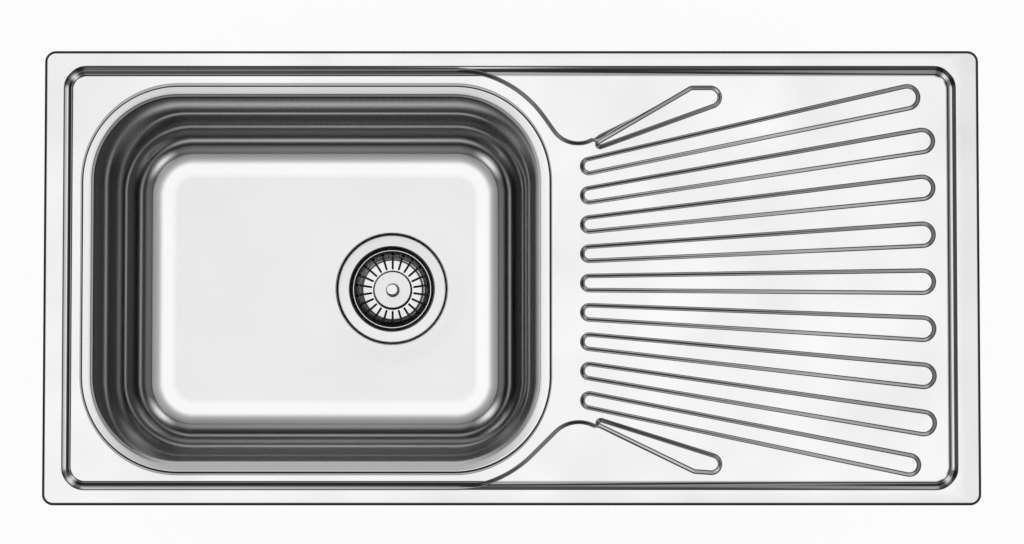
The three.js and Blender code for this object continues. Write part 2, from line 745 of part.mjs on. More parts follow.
function basketCup() {
  const wall = SEAT_RADIUS - BASKET_CLEARANCE;
  const t = BASKET_SHEET;
  const bend = (sign, steps) => {
    const points = [];
    const radius = BASKET_BEND - (sign < 0 ? t : 0);
    for (let i = 0; i <= steps; i += 1) {
      const a = (Math.PI / 2) * (i / steps);
      points.push([
        wall - BASKET_BEND + radius * Math.sin(a),
        basketFloor - t + BASKET_BEND - radius * Math.cos(a),
      ]);
    }
    return points;
  };
  const bendSteps = 4;
  const rimTop = basketRimUnderside + BASKET_RIM_HEIGHT;
  const profile = [
    [STEM_RADIUS + BOLT_CLEARANCE, plateauTop - t],
    [PLATEAU_RADIUS - t, plateauTop - t],
    [PLATEAU_RADIUS + PLATEAU_BEND - t, basketFloor - t],
    ...bend(1, bendSteps),
    [wall, basketRimUnderside],
    [BASKET_RIM_RADIUS, basketRimUnderside],
    [BASKET_RIM_RADIUS, rimTop - BASKET_RIM_CHAMFER],
    [BASKET_RIM_RADIUS - BASKET_RIM_CHAMFER, rimTop],
    [wall - t + BASKET_RIM_CHAMFER, rimTop],
    [wall - t, rimTop - BASKET_RIM_CHAMFER],
    ...bend(-1, bendSteps).reverse(),
    [PLATEAU_RADIUS + PLATEAU_BEND, basketFloor],
    [PLATEAU_RADIUS, plateauTop],
    [STEM_RADIUS + BOLT_CLEARANCE, plateauTop],
  ];
  const slots = [];
  for (let i = 0; i < SLOT_COUNT; i += 1) {
    const angle = -Math.PI / 2 + (2 * Math.PI * i) / SLOT_COUNT;
    const r = SLOT_WIDTH / 2;
    const at = (radius) => ({
      x: drain.x + radius * Math.cos(angle),
      y: drain.y + radius * Math.sin(angle),
      r,
    });
    const outline = roundedHull([at(SLOT_INNER + r), at(SLOT_OUTER - r)], 0, SLOT_ARC_STEP);
    slots.push(stack([ring(outline, basketFloor - OVERRUN), ring(outline, basketFloor + 2 * OVERRUN)]));
  }
  return cut(turned(profile, drain, 2 * SLOT_COUNT), ...slots);
}

const stemTop = plateauTop + STEM_ABOVE_PLATEAU;
function basketStem() {
  const crossbarBottom = crossbarTop - CROSSBAR_HEIGHT;
  return turned(
    [
      [0, crossbarBottom - STEM_NOSE],
      [STEM_RADIUS - 1, crossbarBottom - STEM_NOSE],
      [STEM_RADIUS, crossbarBottom],
      [STEM_RADIUS, stemTop],
      [0, stemTop],
    ],
    drain,
    20,
  );
}

function basketKnob() {
  const bottom = stemTop + SEAT_GAP;
  return turned(
    [
      [0, bottom],
      [KNOB_RADIUS - 2, bottom],
      [KNOB_RADIUS - 2.4, bottom + 0.4 * KNOB_HEIGHT],
      [KNOB_RADIUS, bottom + 0.6 * KNOB_HEIGHT],
      [KNOB_RADIUS, bottom + 0.8 * KNOB_HEIGHT],
      [KNOB_RADIUS - 1, bottom + 0.93 * KNOB_HEIGHT],
      [KNOB_RADIUS - 3, bottom + KNOB_HEIGHT],
      [0, bottom + KNOB_HEIGHT],
    ],
    drain,
    24,
  );
}

const basketStopper = () =>
  turned(
    [
      [STEM_RADIUS + SEAT_GAP, stopperTop - STOPPER_THICKNESS],
      [STOPPER_RADIUS - 2, stopperTop - STOPPER_THICKNESS],
      [STOPPER_RADIUS, stopperTop - STOPPER_THICKNESS + 2],
      [STOPPER_RADIUS - 1.5, stopperTop],
      [STEM_RADIUS + SEAT_GAP, stopperTop],
    ],
    drain,
  );

function stemNut() {
  const top = stopperTop - STOPPER_THICKNESS - SEAT_GAP;
  const profile = washerProfile(STEM_RADIUS + SEAT_GAP, STEM_NUT_RADIUS, top - STEM_NUT_HEIGHT, top);
  return turned(profile, drain, 6 * 3);
}

const flangeSeal = () =>
  turned(washerProfile(threadRadius + SEAT_GAP, FLANGE_RADIUS - 1, recessTop, flangeUnderside), drain);

const gasketBottom = recessUnderside - GASKET_THICKNESS;
const threadBore = threadRadius + THREAD_CLEARANCE;
const floorGasket = () =>
  turned(washerProfile(threadBore, GASKET_RADIUS, gasketBottom, recessUnderside), drain);

const frictionBottom = gasketBottom - FRICTION_RING_THICKNESS;
const frictionRing = () =>
  turned(washerProfile(threadBore, GASKET_RADIUS - 1, frictionBottom, gasketBottom), drain);

function lockNut() {
  const bottom = frictionBottom - LOCK_NUT_HEIGHT;
  const body = turned(washerProfile(threadBore, LOCK_NUT_RADIUS, bottom, frictionBottom), drain);
  const notches = [];
  for (let i = 0; i < LOCK_NUT_NOTCHES; i += 1) {
    const [depth, width, height] = [2 * LOCK_NUT_NOTCH_DEPTH, LOCK_NUT_NOTCH_WIDTH, LOCK_NUT_HEIGHT];
    const notch = new THREE.BoxGeometry(depth, width, height);
    notch.translate(LOCK_NUT_RADIUS, 0, height / 2 - LOCK_NUT_FLANGE);
    notch.rotateZ((2 * Math.PI * (i + 0.5)) / LOCK_NUT_NOTCHES);
    notches.push(notch.translate(drain.x, drain.y, bottom));
  }
  return cut(body, ...notches);
}

const tailWasherTop = outletEnd - SEAT_GAP;
const tailWasherBottom = tailWasherTop - TAIL_WASHER_THICKNESS;
const tailpieceWasher = () =>
  turned(washerProfile(OUTLET_RADIUS, TAILPIECE_FLANGE, tailWasherBottom, tailWasherTop), drain);

const tailFlangeUnderside = tailFlangeTop - TAILPIECE_FLANGE_THICKNESS;
const tailpieceEnd = tailFlangeTop - TAILPIECE_LENGTH;
const tailpiece = () =>
  turned(
    [
      [TAILPIECE_RADIUS - TAILPIECE_WALL, tailpieceEnd],
      [TAILPIECE_RADIUS, tailpieceEnd],
      [TAILPIECE_RADIUS, tailFlangeUnderside],
      [TAILPIECE_FLANGE, tailFlangeUnderside],
      [TAILPIECE_FLANGE, tailFlangeTop],
      [TAILPIECE_RADIUS - TAILPIECE_WALL, tailFlangeTop],
    ],
    drain,
  );

function couplingNut() {
  const bore = outletOuter + THREAD_CLEARANCE;
  const outer = bore + COUPLING_WALL;
  const lipTop = tailFlangeUnderside - SEAT_GAP;
  const bottom = lipTop - COUPLING_LIP;
  const top = outletEnd + COUPLING_OVERLAP;
  const body = turned(
    [
      [TAILPIECE_RADIUS + THREAD_CLEARANCE, bottom],
      [outer - 1, bottom],
      [outer, bottom + 1],
      [outer, top],
      [bore, top],
      [bore, lipTop],
      [TAILPIECE_RADIUS + THREAD_CLEARANCE, lipTop],
    ],
    drain,
  );
  const ribs = [];
  for (let i = 0; i < COUPLING_RIBS; i += 1) {
    const size = COUPLING_RIB_SIZE;
    const lug = new THREE.BoxGeometry(size, size, top - bottom - 4);
    lug.translate(outer, 0, 0).rotateZ((2 * Math.PI * i) / COUPLING_RIBS);
    ribs.push(lug.translate(drain.x, drain.y, (top + bottom) / 2));
  }
  return joined(body, ...ribs);
}

// ---------------------------------------------------------------- fixing

// A seal strip on the side of the outline, flat on the worktop and under the rim.
function sealStrip(side) {
  const outerX = DECK_LENGTH / 2 - sealInset;
  const outerY = DECK_WIDTH / 2 - sealInset;
  const innerX = outerX - SEAL_WIDTH;
  const innerY = outerY - SEAL_WIDTH;
  const halfLong = DECK_LENGTH / 2 - DECK_CORNER;
  const halfShort = innerY - SEAT_GAP;
  const spans = {
    front: [-halfLong, halfLong, -outerY, -innerY],
    back: [-halfLong, halfLong, innerY, outerY],
    left: [-outerX, -innerX, -halfShort, halfShort],
    right: [innerX, outerX, -halfShort, halfShort],
  };
  return box(...spans[side], 0, RIM_UNDERSIDE);
}

// Rails and clips are made for one side: x runs along the rail, y inwards from the sink's edge.
function clipRail(length) {
  const t = RAIL_WALL;
  const slot = BOLT_RADIUS + BOLT_CLEARANCE;
  const weld = RIM_UNDERSIDE - SEAT_GAP;
  return bar(
    [
      [railOuter, weld],
      [railOuter, RAIL_BOTTOM],
      [boltInset - slot, RAIL_BOTTOM],
      [boltInset - slot, RAIL_BOTTOM + t],
      [railOuter + t, RAIL_BOTTOM + t],
      [railOuter + t, RAIL_TOP - t],
      [railInner - t, RAIL_TOP - t],
      [railInner - t, RAIL_BOTTOM + t],
      [boltInset + slot, RAIL_BOTTOM + t],
      [boltInset + slot, RAIL_BOTTOM],
      [railInner, RAIL_BOTTOM],
      [railInner, RAIL_TOP],
      [railOuter + t, RAIL_TOP],
      [railOuter + t, weld - t],
      [RAIL_FLANGE_EDGE, weld - t],
      [RAIL_FLANGE_EDGE, weld],
    ],
    length,
  );
}

const boltAxis = point(0, boltInset);

function clipBolt() {
  const headBottom = RAIL_BOTTOM + RAIL_WALL + SEAT_GAP;
  const headHalf = (RAIL_WIDTH - 2 * RAIL_WALL) / 2 - SEAT_GAP;
  const head = box(
    -BOLT_HEAD_LENGTH / 2,
    BOLT_HEAD_LENGTH / 2,
    boltInset - headHalf,
    boltInset + headHalf,
    headBottom,
    headBottom + BOLT_HEAD_HEIGHT,
  );
  const shank = turned(
    [
      [0, boltEnd],
      [BOLT_RADIUS - 0.6, boltEnd],
      [BOLT_RADIUS, boltEnd + 0.6],
      [BOLT_RADIUS, headBottom + BOLT_HEAD_HEIGHT / 2],
      [0, headBottom + BOLT_HEAD_HEIGHT / 2],
    ],
    boltAxis,
    12,
  );
  return joined(head, shank);
}

function clipClaw() {
  const heel = boltInset + CLAW_HEEL_REACH;
  const arm = bar(
    [
      [CLAW_TIP_INSET, clawTop],
      [CLAW_TIP_INSET, clawUnderside],
      [heel, clawUnderside],
      [heel, clawPlateTop + CLAW_HEEL_HEIGHT],
      [heel - CLAW_THICKNESS, clawPlateTop + CLAW_HEEL_HEIGHT],
      [heel - CLAW_THICKNESS, clawPlateTop],
      [CLAW_TIP_INSET + CLAW_TOOTH_WIDTH, clawPlateTop],
      [CLAW_TIP_INSET + CLAW_TOOTH_WIDTH, clawTop],
    ],
    CLAW_WIDTH,
  );
  const hole = turned(
    [
      [0, clawUnderside - 1],
      [BOLT_RADIUS + BOLT_CLEARANCE, clawUnderside - 1],
      [BOLT_RADIUS + BOLT_CLEARANCE, clawPlateTop + 1],
      [0, clawPlateTop + 1],
    ],
    boltAxis,
    12,
  );
  return cut(arm, hole);
}

const clipWasher = () =>
  turned(
    washerProfile(BOLT_RADIUS + BOLT_CLEARANCE, WASHER_RADIUS, washerTop - WASHER_THICKNESS, washerTop),
    boltAxis,
    14,
  );

function wingNut() {
  const hub = turned(
    [
      [0, nutBottom],
      [NUT_HUB_RADIUS - 1, nutBottom],
      [NUT_HUB_RADIUS, nutTop - 2],
      [NUT_HUB_RADIUS, nutTop],
      [0, nutTop],
    ],
    boltAxis,
    14,
  );
  const tip = NUT_WING_SPAN / 2;
  const outline = [
    [0, nutTop - 1.5],
    [0.5 * tip, nutTop - 2],
    [0.85 * tip, nutBottom + 3],
    [tip, nutBottom - 1],
    [0.94 * tip, nutBottom - 3],
    [0.75 * tip, nutBottom - 2.5],
    [0.35 * tip, nutBottom + 1.5],
    [0, nutBottom + 1.5],
  ];
  const wing = (sign) => {
    const points = outline.map(([x, z]) => point(sign * x, z));
    const plate = new THREE.ExtrudeGeometry(new THREE.Shape(points), {
      depth: NUT_WING_THICKNESS,
      bevelEnabled: false,
    });
    return plate.rotateX(Math.PI / 2).translate(0, boltInset + NUT_WING_THICKNESS / 2, 0);
  };
  const bore = turned(
    [
      [0, nutBottom - 1],
      [BOLT_RADIUS + THREAD_CLEARANCE, nutBottom - 1],
      [BOLT_RADIUS + THREAD_CLEARANCE, nutTop + 1],
      [0, nutTop + 1],
    ],
    boltAxis,
    12,
  );
  return cut(joined(hub, wing(1), wing(-1)), bore);
}

// ---------------------------------------------------------------- pads

function bowlSoundPad() {
  const left = bowl.left + floorInset + BOWL_PAD_EDGE;
  const half = BOWL_PAD_WIDTH / 2;
  const top = floorTop - SHEET;
  const edges = { left, right: left + BOWL_PAD_LENGTH, back: drain.y + half, front: drain.y - half };
  const outline = roundedHull(rectangleCircles(edges, PAD_CORNER));
  return stack([ring(outline, top - PAD_THICKNESS), ring(outline, top)]);
}

function drainerSoundPad() {
  const left = bowl.right + DRAINER_PAD_START;
  const right = DECK_LENGTH / 2 - railInner - DRAINER_PAD_RAIL_GAP;
  const half = DRAINER_PAD_WIDTH / 2;
  const top = ({ x }) => fieldHeight(x) - SHEET - SEAT_GAP;
  const [front, back] = [FAN_LEFT_Y - half, FAN_LEFT_Y + half];
  const edges = { left, right, back, front };
  const outline = roundedHull(rectangleCircles(edges, PAD_CORNER));
  return stack([ring(outline, (p) => top(p) - PAD_THICKNESS), ring(outline, top)]);
}

// ---------------------------------------------------------------- assembly

const finishes = {
  brushedSteel: { color: 0xd6d8da, roughness: 0.28, metalness: 1 },
  bowlSteel: { color: 0xcfd1d3, roughness: 0.25, metalness: 1 },
  polishedSteel: { color: 0xdfe1e3, roughness: 0.12, metalness: 1 },
  zincSteel: { color: 0xb4b8bc, roughness: 0.4, metalness: 1 },
  blackRubber: { color: 0x1c1c1e, roughness: 0.8, metalness: 0 },
  greySealFoam: { color: 0x3a3c3f, roughness: 0.9, metalness: 0 },
  whitePlastic: { color: 0xe6e6e2, roughness: 0.45, metalness: 0 },
  fibre: { color: 0xb59a6b, roughness: 0.9, metalness: 0 },
  padGrey: { color: 0x55585c, roughness: 0.95, metalness: 0 },
};

const sink = new THREE.Group();

function add(parent, name, geometry, finish) {
  const faceted = geometry.index ? geometry.toNonIndexed() : geometry;
  faceted.computeVertexNormals();
  const mesh = new THREE.Mesh(faceted, new THREE.MeshStandardMaterial(finish));
  mesh.name = name;
  parent.add(mesh);
}

add(sink, 'drainer_deck', drainerDeck(), finishes.brushedSteel);
add(sink, 'bowl', bowlShell(), finishes.bowlSteel);
add(sink, 'bowl_sound_pad', bowlSoundPad(), finishes.padGrey);
add(sink, 'drainer_sound_pad', drainerSoundPad(), finishes.padGrey);

add(sink, 'strainer_body', strainerBody(), finishes.polishedSteel);
add(sink, 'flange_seal', flangeSeal(), finishes.blackRubber);
add(sink, 'floor_gasket', floorGasket(), finishes.blackRubber);
add(sink, 'friction_ring', frictionRing(), finishes.fibre);
add(sink, 'lock_nut', lockNut(), finishes.whitePlastic);
add(sink, 'tailpiece_washer', tailpieceWasher(), finishes.whitePlastic);
add(sink, 'tailpiece', tailpiece(), finishes.polishedSteel);
add(sink, 'coupling_nut', couplingNut(), finishes.whitePlastic);

add(sink, 'basket_cup', basketCup(), finishes.polishedSteel);
add(sink, 'basket_stopper', basketStopper(), finishes.blackRubber);
add(sink, 'basket_stem', basketStem(), finishes.polishedSteel);
add(sink, 'basket_knob', basketKnob(), finishes.polishedSteel);
add(sink, 'stem_nut', stemNut(), finishes.zincSteel);

// sides of the outline: where the clip frame starts, and its turn about Z
const sides = {
  front: { at: [0, -DECK_WIDTH / 2], turn: 0, rail: RAIL_LONG, clips: [-1, 0, 1] },
  right: { at: [DECK_LENGTH / 2, 0], turn: Math.PI / 2, rail: RAIL_SHORT, clips: [0] },
  back: { at: [0, DECK_WIDTH / 2], turn: Math.PI, rail: RAIL_LONG, clips: [-1, 0, 1] },
  left: { at: [-DECK_LENGTH / 2, 0], turn: -Math.PI / 2, rail: RAIL_SHORT, clips: [0] },
};

for (const [side, { at, turn, rail, clips }] of Object.entries(sides)) {
  add(sink, `rim_seal_${side}`, sealStrip(side), finishes.greySealFoam);
  const frame = new THREE.Group();
  frame.position.set(at[0], at[1], 0);
  frame.rotation.z = turn;
  sink.add(frame);
  add(frame, `clip_rail_${side}`, clipRail(rail), finishes.zincSteel);
  clips.forEach((step, i) => {
    const clip = new THREE.Group();
    clip.position.x = step * CLIPS_LONG_SPACING;
    frame.add(clip);
    const label = clips.length > 1 ? `${side}_${i + 1}` : side;
    add(clip, `clip_bolt_${label}`, clipBolt(), finishes.zincSteel);
    add(clip, `clip_claw_${label}`, clipClaw(), finishes.zincSteel);
    add(clip, `clip_washer_${label}`, clipWasher(), finishes.zincSteel);
    add(clip, `wing_nut_${label}`, wingNut(), finishes.zincSteel);
  });
}

export default sink;
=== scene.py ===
"""Looks of the inset kitchen sink with a drainboard.

The pressed deck, the drawn bowl and the basket strainer are rebuilt as fine meshes round the
frame's solids, every other piece keeps its solid. Shapes are worked out in millimetres.
"""

import json
import math

import bpy
import numpy as np
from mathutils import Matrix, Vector
from mathutils.geometry import delaunay_2d_cdt


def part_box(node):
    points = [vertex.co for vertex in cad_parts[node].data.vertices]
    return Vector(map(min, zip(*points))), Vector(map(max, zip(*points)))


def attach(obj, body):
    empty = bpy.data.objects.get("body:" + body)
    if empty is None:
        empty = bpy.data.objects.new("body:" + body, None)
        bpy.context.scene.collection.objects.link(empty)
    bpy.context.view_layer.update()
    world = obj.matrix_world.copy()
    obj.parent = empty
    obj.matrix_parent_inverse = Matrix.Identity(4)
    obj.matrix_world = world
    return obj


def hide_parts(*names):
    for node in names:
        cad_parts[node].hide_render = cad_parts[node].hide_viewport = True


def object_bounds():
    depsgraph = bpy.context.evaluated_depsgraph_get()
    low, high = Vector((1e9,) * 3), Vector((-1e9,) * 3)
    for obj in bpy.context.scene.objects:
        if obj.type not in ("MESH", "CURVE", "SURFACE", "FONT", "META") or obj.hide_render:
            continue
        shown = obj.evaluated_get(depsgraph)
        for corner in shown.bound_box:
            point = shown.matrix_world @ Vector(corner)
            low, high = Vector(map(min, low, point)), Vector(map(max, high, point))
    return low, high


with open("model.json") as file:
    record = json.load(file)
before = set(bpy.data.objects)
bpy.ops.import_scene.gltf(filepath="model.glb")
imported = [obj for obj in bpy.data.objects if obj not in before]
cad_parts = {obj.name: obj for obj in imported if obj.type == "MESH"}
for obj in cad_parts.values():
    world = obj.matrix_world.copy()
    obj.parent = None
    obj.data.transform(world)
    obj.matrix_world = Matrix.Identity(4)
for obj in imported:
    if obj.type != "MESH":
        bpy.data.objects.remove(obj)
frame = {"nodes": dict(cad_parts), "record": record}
cad_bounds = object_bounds()

MM = 0.001


def box_mm(node):
    low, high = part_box(node)
    return low / MM, high / MM


# ---- driving dimensions

deck_low, deck_high = box_mm("drainer_deck")
bowl_low, bowl_high = box_mm("bowl")
cup_low, cup_high = box_mm("strainer_body")

SHEET = 1.0
SEAT_GAP = 0.3
RIM_TOP = deck_high.z
DECK_CORNER = 11.0
EDGE_BEND = 1.1  # radius of the outer edge's bend
SKIRT_BOTTOM = 0.8  # height of the turned-down edge's lower end
# from the outer edge to the border's step
RIM_LEFT, RIM_RIGHT, RIM_BACK, RIM_FRONT = 19.4, 22.8, 15.2, 15.6
BORDER_CORNER = 23.0
BORDER_DEPTH = 5.0
BORDER_OUTSET = 0.9  # the step's soft upper edge starts this far outside the solid's edge
BORDER_WIDTH_FLAT = 5.6  # width of the step as its depth nears zero
BORDER_WIDTH_GROWTH = 0.9  # and what each millimetre of depth adds
BORDER_WIDER_BACK, BORDER_WIDER_RIGHT = 1.3, 1.0  # than at the front and left
LEDGE = RIM_TOP - BORDER_DEPTH

FIELD_RISE = 1.0  # the drainer's floor rises by this much towards the right
RISE_START = 20.0  # from this far beside the bowl
RIB_COUNT = 9
RIB_HEIGHT = 1.6
RIB_TOP = LEDGE + FIELD_RISE + RIB_HEIGHT
RIB_OUTSET = 0.8
RIB_WALL = 5.3
RIB_LEFT_RADIUS, RIB_RIGHT_RADIUS, RIB_FRONT_RADIUS = 9.0, 13.1, 11.6
RIB_LEFT_PITCH, RIB_RIGHT_PITCH = 29.5, 47.3
FAN_LEFT_Y, FAN_RIGHT_Y = -5.5, -4.2
RIB_BOWL_GAP, RIB_BORDER_GAP = 29.8, 21.1
OUTER_RIB_SHORTER, FRONT_RIB_SHIFT = 14.6, 2.3
STEP_WIDTH = 7.3  # plan width of the border step in the solid
SHOULDER_HIGH, SHOULDER_LOW = 3.7, 2.1
SHORT_RIB_TIP_HEIGHT, SHORT_RIB_END_HEIGHT = 3.8, 2.5
SHOULDER_WALL = 4.6
SHOULDER_OUTSET = 0.6

BOWL_CORNER = 98.0
BOWL_DEPTH = 181.0
BOWL_LAND = 4.0  # width of the flat strip round the bowl
# the land's rounded outer edge: inset and height from its start, and slope in radians
LAND_EDGE = ((0, -0.5, -1.2), (0.12, -0.15, -0.8), (0.45, 0, 0))
# the lip's slope in degrees at distances inside the bowl's outline
LIP = ((4, 0), (10.3, 3), (10.6, 23), (12.6, 29), (13.4, 50), (13.8, 72), (13.97, 85.5))
LIP_STEPS = 40
WALL_STEPS = 44
FOOT_STEPS, BAND_STEPS = 34, 5
DRAFT = math.radians(4.5)
FLOOR_RADIUS = 38.0
FLOOR_BAND = 14.0  # the floor still rises a little this far from the wall's rounding
# how the foot of the rounding flattens: its true slope, in degrees, for that of a plain circle
FOOT = ((0, 1.5), (19.2, 6.5), (20, 21.5), (90, 90))
DISH_RADIUS, DISH_FALL = 86.0, 0.9
SWEEP_GAP = 12.0
# the deck's rolled edge reaches over the bowl's land by this much to the right or back
SEAM_REACH = {"left": 2.6, "right": -1.2, "front": 2.8, "back": -3.2}
SEAM_CORNER = BOWL_CORNER - 2
SEAM_ROLL_ENDS, SEAM_ROLL_SIDES = 2.7, 3.9  # the rolled edge's width
SEAM_DROP, SEAM_STEP = 0.5, 0.12  # it rolls down this far, and the land lies below that

RECESS_RADIUS, RECESS_DEPTH = 58.7, 4.6
RECESS_WALL = 0.9  # the sheet's thickness across the recess's wall
# the recess's soft upper edge: how far outside its radius, and how far below the dish
RECESS_EDGE = (
    *((1.2, 0), (0.5, 0.08), (0.1, 0.4), (-0.1, 1.2)),
    *((-0.5, 2.4), (-1.0, 3.2), (-1.8, RECESS_DEPTH)),
)
DRAIN_HOLE = 45.5  # radius of the hole under the strainer's flange


def edges_inside(low, high, left, right, front, back):
    """A box's four edges, each moved inwards by so much."""
    return {"left": low.x + left, "right": high.x - right, "front": low.y + front, "back": high.y - back}


bowl_edges = edges_inside(bowl_low, bowl_high, -SEAT_GAP, -SEAT_GAP, -SEAT_GAP, -SEAT_GAP)
border_edges = edges_inside(deck_low, deck_high, RIM_LEFT, RIM_RIGHT, RIM_FRONT, RIM_BACK)
deck_edges = edges_inside(deck_low, deck_high, 0, 0, 0, 0)
drain = ((cup_low.x + cup_high.x) / 2, (cup_low.y + cup_high.y) / 2)
floor_top = LEDGE - BOWL_DEPTH
dish_bottom = floor_top - DISH_FALL
recess_top = dish_bottom - RECESS_DEPTH

# ---- plan outlines

LEAST_RADIUS = 0.15


def arc(x, y, radius, start, end, step):
    count = max(1, math.ceil(abs(end - start) / step - 1e-6))
    angles = [start + (end - start) * i / count for i in range(count + 1)]
    return [(x + radius * math.cos(a), y + radius * math.sin(a)) for a in angles]


def hull_arcs(circles):
    """The outline tight round discs listed counterclockwise, as [x, y, r, start, end] arcs."""
    normals = []
    for (x0, y0, r0), (x1, y1, r1) in zip(circles, circles[1:] + circles[:1]):
        along = math.atan2(y1 - y0, x1 - x0)
        apart = math.hypot(x1 - x0, y1 - y0)
        normals.append(along - math.acos((r0 - r1) / apart))
    arcs = []
    for i, (x, y, r) in enumerate(circles):
        start, end = normals[i - 1], normals[i]
        while end < start:
            end += 2 * math.pi
        arcs.append((x, y, r, start, end))
    return arcs


def hull_points(circles, offset=0.0, step=math.radians(7)):
    points = []
    for x, y, r, start, end in hull_arcs(circles):
        points += arc(x, y, r + offset, start, end, step)
    return points


def hull_depth(circles, x, y):
    """How far points lie inside the outline, negative outside."""
    depth = np.full_like(x, np.inf)
    for cx, cy, r, start, end in hull_arcs(circles):
        middle, half = (start + end) / 2, (end - start) / 2
        away = np.hypot(x - cx, y - cy)
        turn = (np.arctan2(y - cy, x - cx) - middle + math.pi) % (2 * math.pi) - math.pi
        miss = turn - np.clip(turn, -half, half)
        depth = np.minimum(depth, r - away * np.cos(miss))
    return depth


def inset_circles(circles, inset):
    """The same outline with no disc too small for a line traced this far inside it."""
    kept = []
    for x, y, r, start, end in hull_arcs(circles):
        middle, half = (start + end) / 2, (end - start) / 2
        grown = max(0, inset + LEAST_RADIUS - r)
        move = grown / math.cos(half) if grown else 0
        kept.append((x - move * math.cos(middle), y - move * math.sin(middle), r + grown))
    return kept


def facing(circles, x, y):
    """Which way a rounded rectangle's outline faces at each point: its unit normal, 0 in the middle."""
    xs, ys, _ = np.array(circles).T
    right = x - np.clip(x, xs.min(), xs.max())
    back = y - np.clip(y, ys.min(), ys.max())
    length = np.maximum(np.hypot(right, back), 1e-9)
    return right / length, back / length


def diagonal(right, back):
    """How much a direction points across the corners, from 0 along an axis to 1 between two."""
    return 4 * (right * back) ** 2


def towards_sides(right, back):
    """How much a direction points to the left, back, right and front; the four add up to 1."""
    return np.maximum([-right, back, right, -back], 0) ** 2


def rectangle(edges, r):
    left, right = edges["left"] + r, edges["right"] - r
    front, back = edges["front"] + r, edges["back"] - r
    return [(right, front, r), (right, back, r), (left, back, r), (left, front, r)]


def long_rib(index):
    from_middle = (RIB_COUNT - 1) / 2 - index
    x0 = bowl_edges["right"] + RIB_BOWL_GAP + RIB_LEFT_RADIUS
    y0 = FAN_LEFT_Y + from_middle * RIB_LEFT_PITCH
    x1 = border_edges["right"] - RIB_BORDER_GAP - RIB_RIGHT_RADIUS
    y1 = FAN_RIGHT_Y + from_middle * RIB_RIGHT_PITCH
    r1 = RIB_RIGHT_RADIUS
    if index in (0, RIB_COUNT - 1):
        share = OUTER_RIB_SHORTER / (x1 - x0)
        x1 -= OUTER_RIB_SHORTER
        y1 -= (y1 - y0) * share
    if index == RIB_COUNT - 1:
        r1 = RIB_FRONT_RADIUS
        y1 += FRONT_RIB_SHIFT
    return [(x0, y0, RIB_LEFT_RADIUS), (x1, y1, r1)]


class Corner:
    """A raised corner beside the bowl with its short rib, mirrored by its side: +1 back, -1 front."""

    def __init__(self, side, sweep, tip, end, knee):
        self.side = side
        name = "back" if side > 0 else "front"
        self.edge = border_edges[name] - side * STEP_WIDTH
        self.bowl_centre = (bowl_edges["right"] - BOWL_CORNER, bowl_edges[name] - side * BOWL_CORNER)
        self.sweep_end = sweep[3]
        self.sweep, self.tip, self.end, self.knee = (self.place(*p[:3]) for p in (sweep, tip, end, knee))

    def place(self, right, inward, radius):
        return (bowl_edges["right"] + right, self.edge - self.side * inward, radius)

    def sweep_points(self, offset, step=math.radians(4)):
        """The S-shaped step: an arc round the bowl's corner, a straight, an arc the other way."""
        x0, y0 = self.bowl_centre[0], self.bowl_centre[1] * self.side
        x1, y1 = self.sweep[0], self.sweep[1] * self.side
        r0, r1 = BOWL_CORNER + SWEEP_GAP + offset, self.sweep[2] - offset
        turn = math.atan2(y1 - y0, x1 - x0) + math.acos((r0 + r1) / math.hypot(x1 - x0, y1 - y0))
        points = arc(x0, y0, r0, math.pi / 2, turn, step)
        points += arc(x1, y1, r1, turn - math.pi, math.radians(self.sweep_end), step)
        return [(x, y * self.side) for x, y in points]

    def shoulder_outline(self):
        beyond = self.edge + self.side * 2 * STEP_WIDTH
        sweep = self.sweep_points(-SHOULDER_OUTSET, math.radians(3))
        last = self.end[0] + 2 * self.end[2]
        rest = [self.tip[:2], self.end[:2], (last, self.end[1]), (last, beyond)]
        return [(sweep[0][0], beyond)] + sweep + rest

    def short_rib(self):
        circles = [self.tip, self.end, self.knee]
        return circles if self.side > 0 else circles[::-1]


# the side, then the places of the sweep and of the short rib's tip, end and knee. A place is how far
# beside the bowl and inside the border's step it lies, and a radius; the sweep ends at an angle.
corners = [
    Corner(1, (27.6, 41.0, 31.3, -61), (49.9, 71.4, 4.6), (160.9, 23.9, 11.3), (143.3, 20.7, 8.0)),
    Corner(-1, (28.1, 27.1, 35.0, -63), (50.1, 59.4, 4.8), (160.7, 18.5, 10.6), (145.3, 17.5, 8.5)),
]
long_ribs = [long_rib(i) for i in range(RIB_COUNT)]
border = rectangle(border_edges, BORDER_CORNER)
bowl_plan = rectangle(bowl_edges, BOWL_CORNER)
seam = rectangle({k: bowl_edges[k] + SEAM_REACH[k] for k in bowl_edges}, SEAM_CORNER)
outline = rectangle(deck_edges, DECK_CORNER)

# ---- deck heights

# relative slope at shares of a wall's width
RIB_SLOPES = ((0, 0), (0.36, 1), (0.64, 1), (1, 0))
BORDER_SLOPES = (
    *((0, 0), (0.1, 0.42), (0.2, 0.56), (0.45, 0.62)),
    *((0.52, 1), (0.72, 1), (0.84, 0.56), (1, 0)),
)
DISH_SLOPES = ((0, 0), (0.25, 1), (0.8, 1), (1, 0))


def wall(t, slopes=RIB_SLOPES):
    """Share of a pressed wall's height at share t of its width, from the way its slope changes."""
    places, steepness = np.array(slopes).T
    widths = np.diff(places)
    heights = np.concatenate([[0], np.cumsum(widths * (steepness[:-1] + steepness[1:]) / 2)])
    t = np.clip(t, 0, 1)
    i = np.clip(np.searchsorted(places, t, side="right") - 1, 0, len(widths) - 1)
    on = t - places[i]
    growth = (steepness[i + 1] - steepness[i]) / widths[i]
    return (heights[i] + on * (steepness[i] + growth * on / 2)) / heights[-1]


def ramp(x, x0, x1, z0, z1):
    return z0 + (z1 - z0) * np.clip((x - x0) / (x1 - x0), 0, 1)


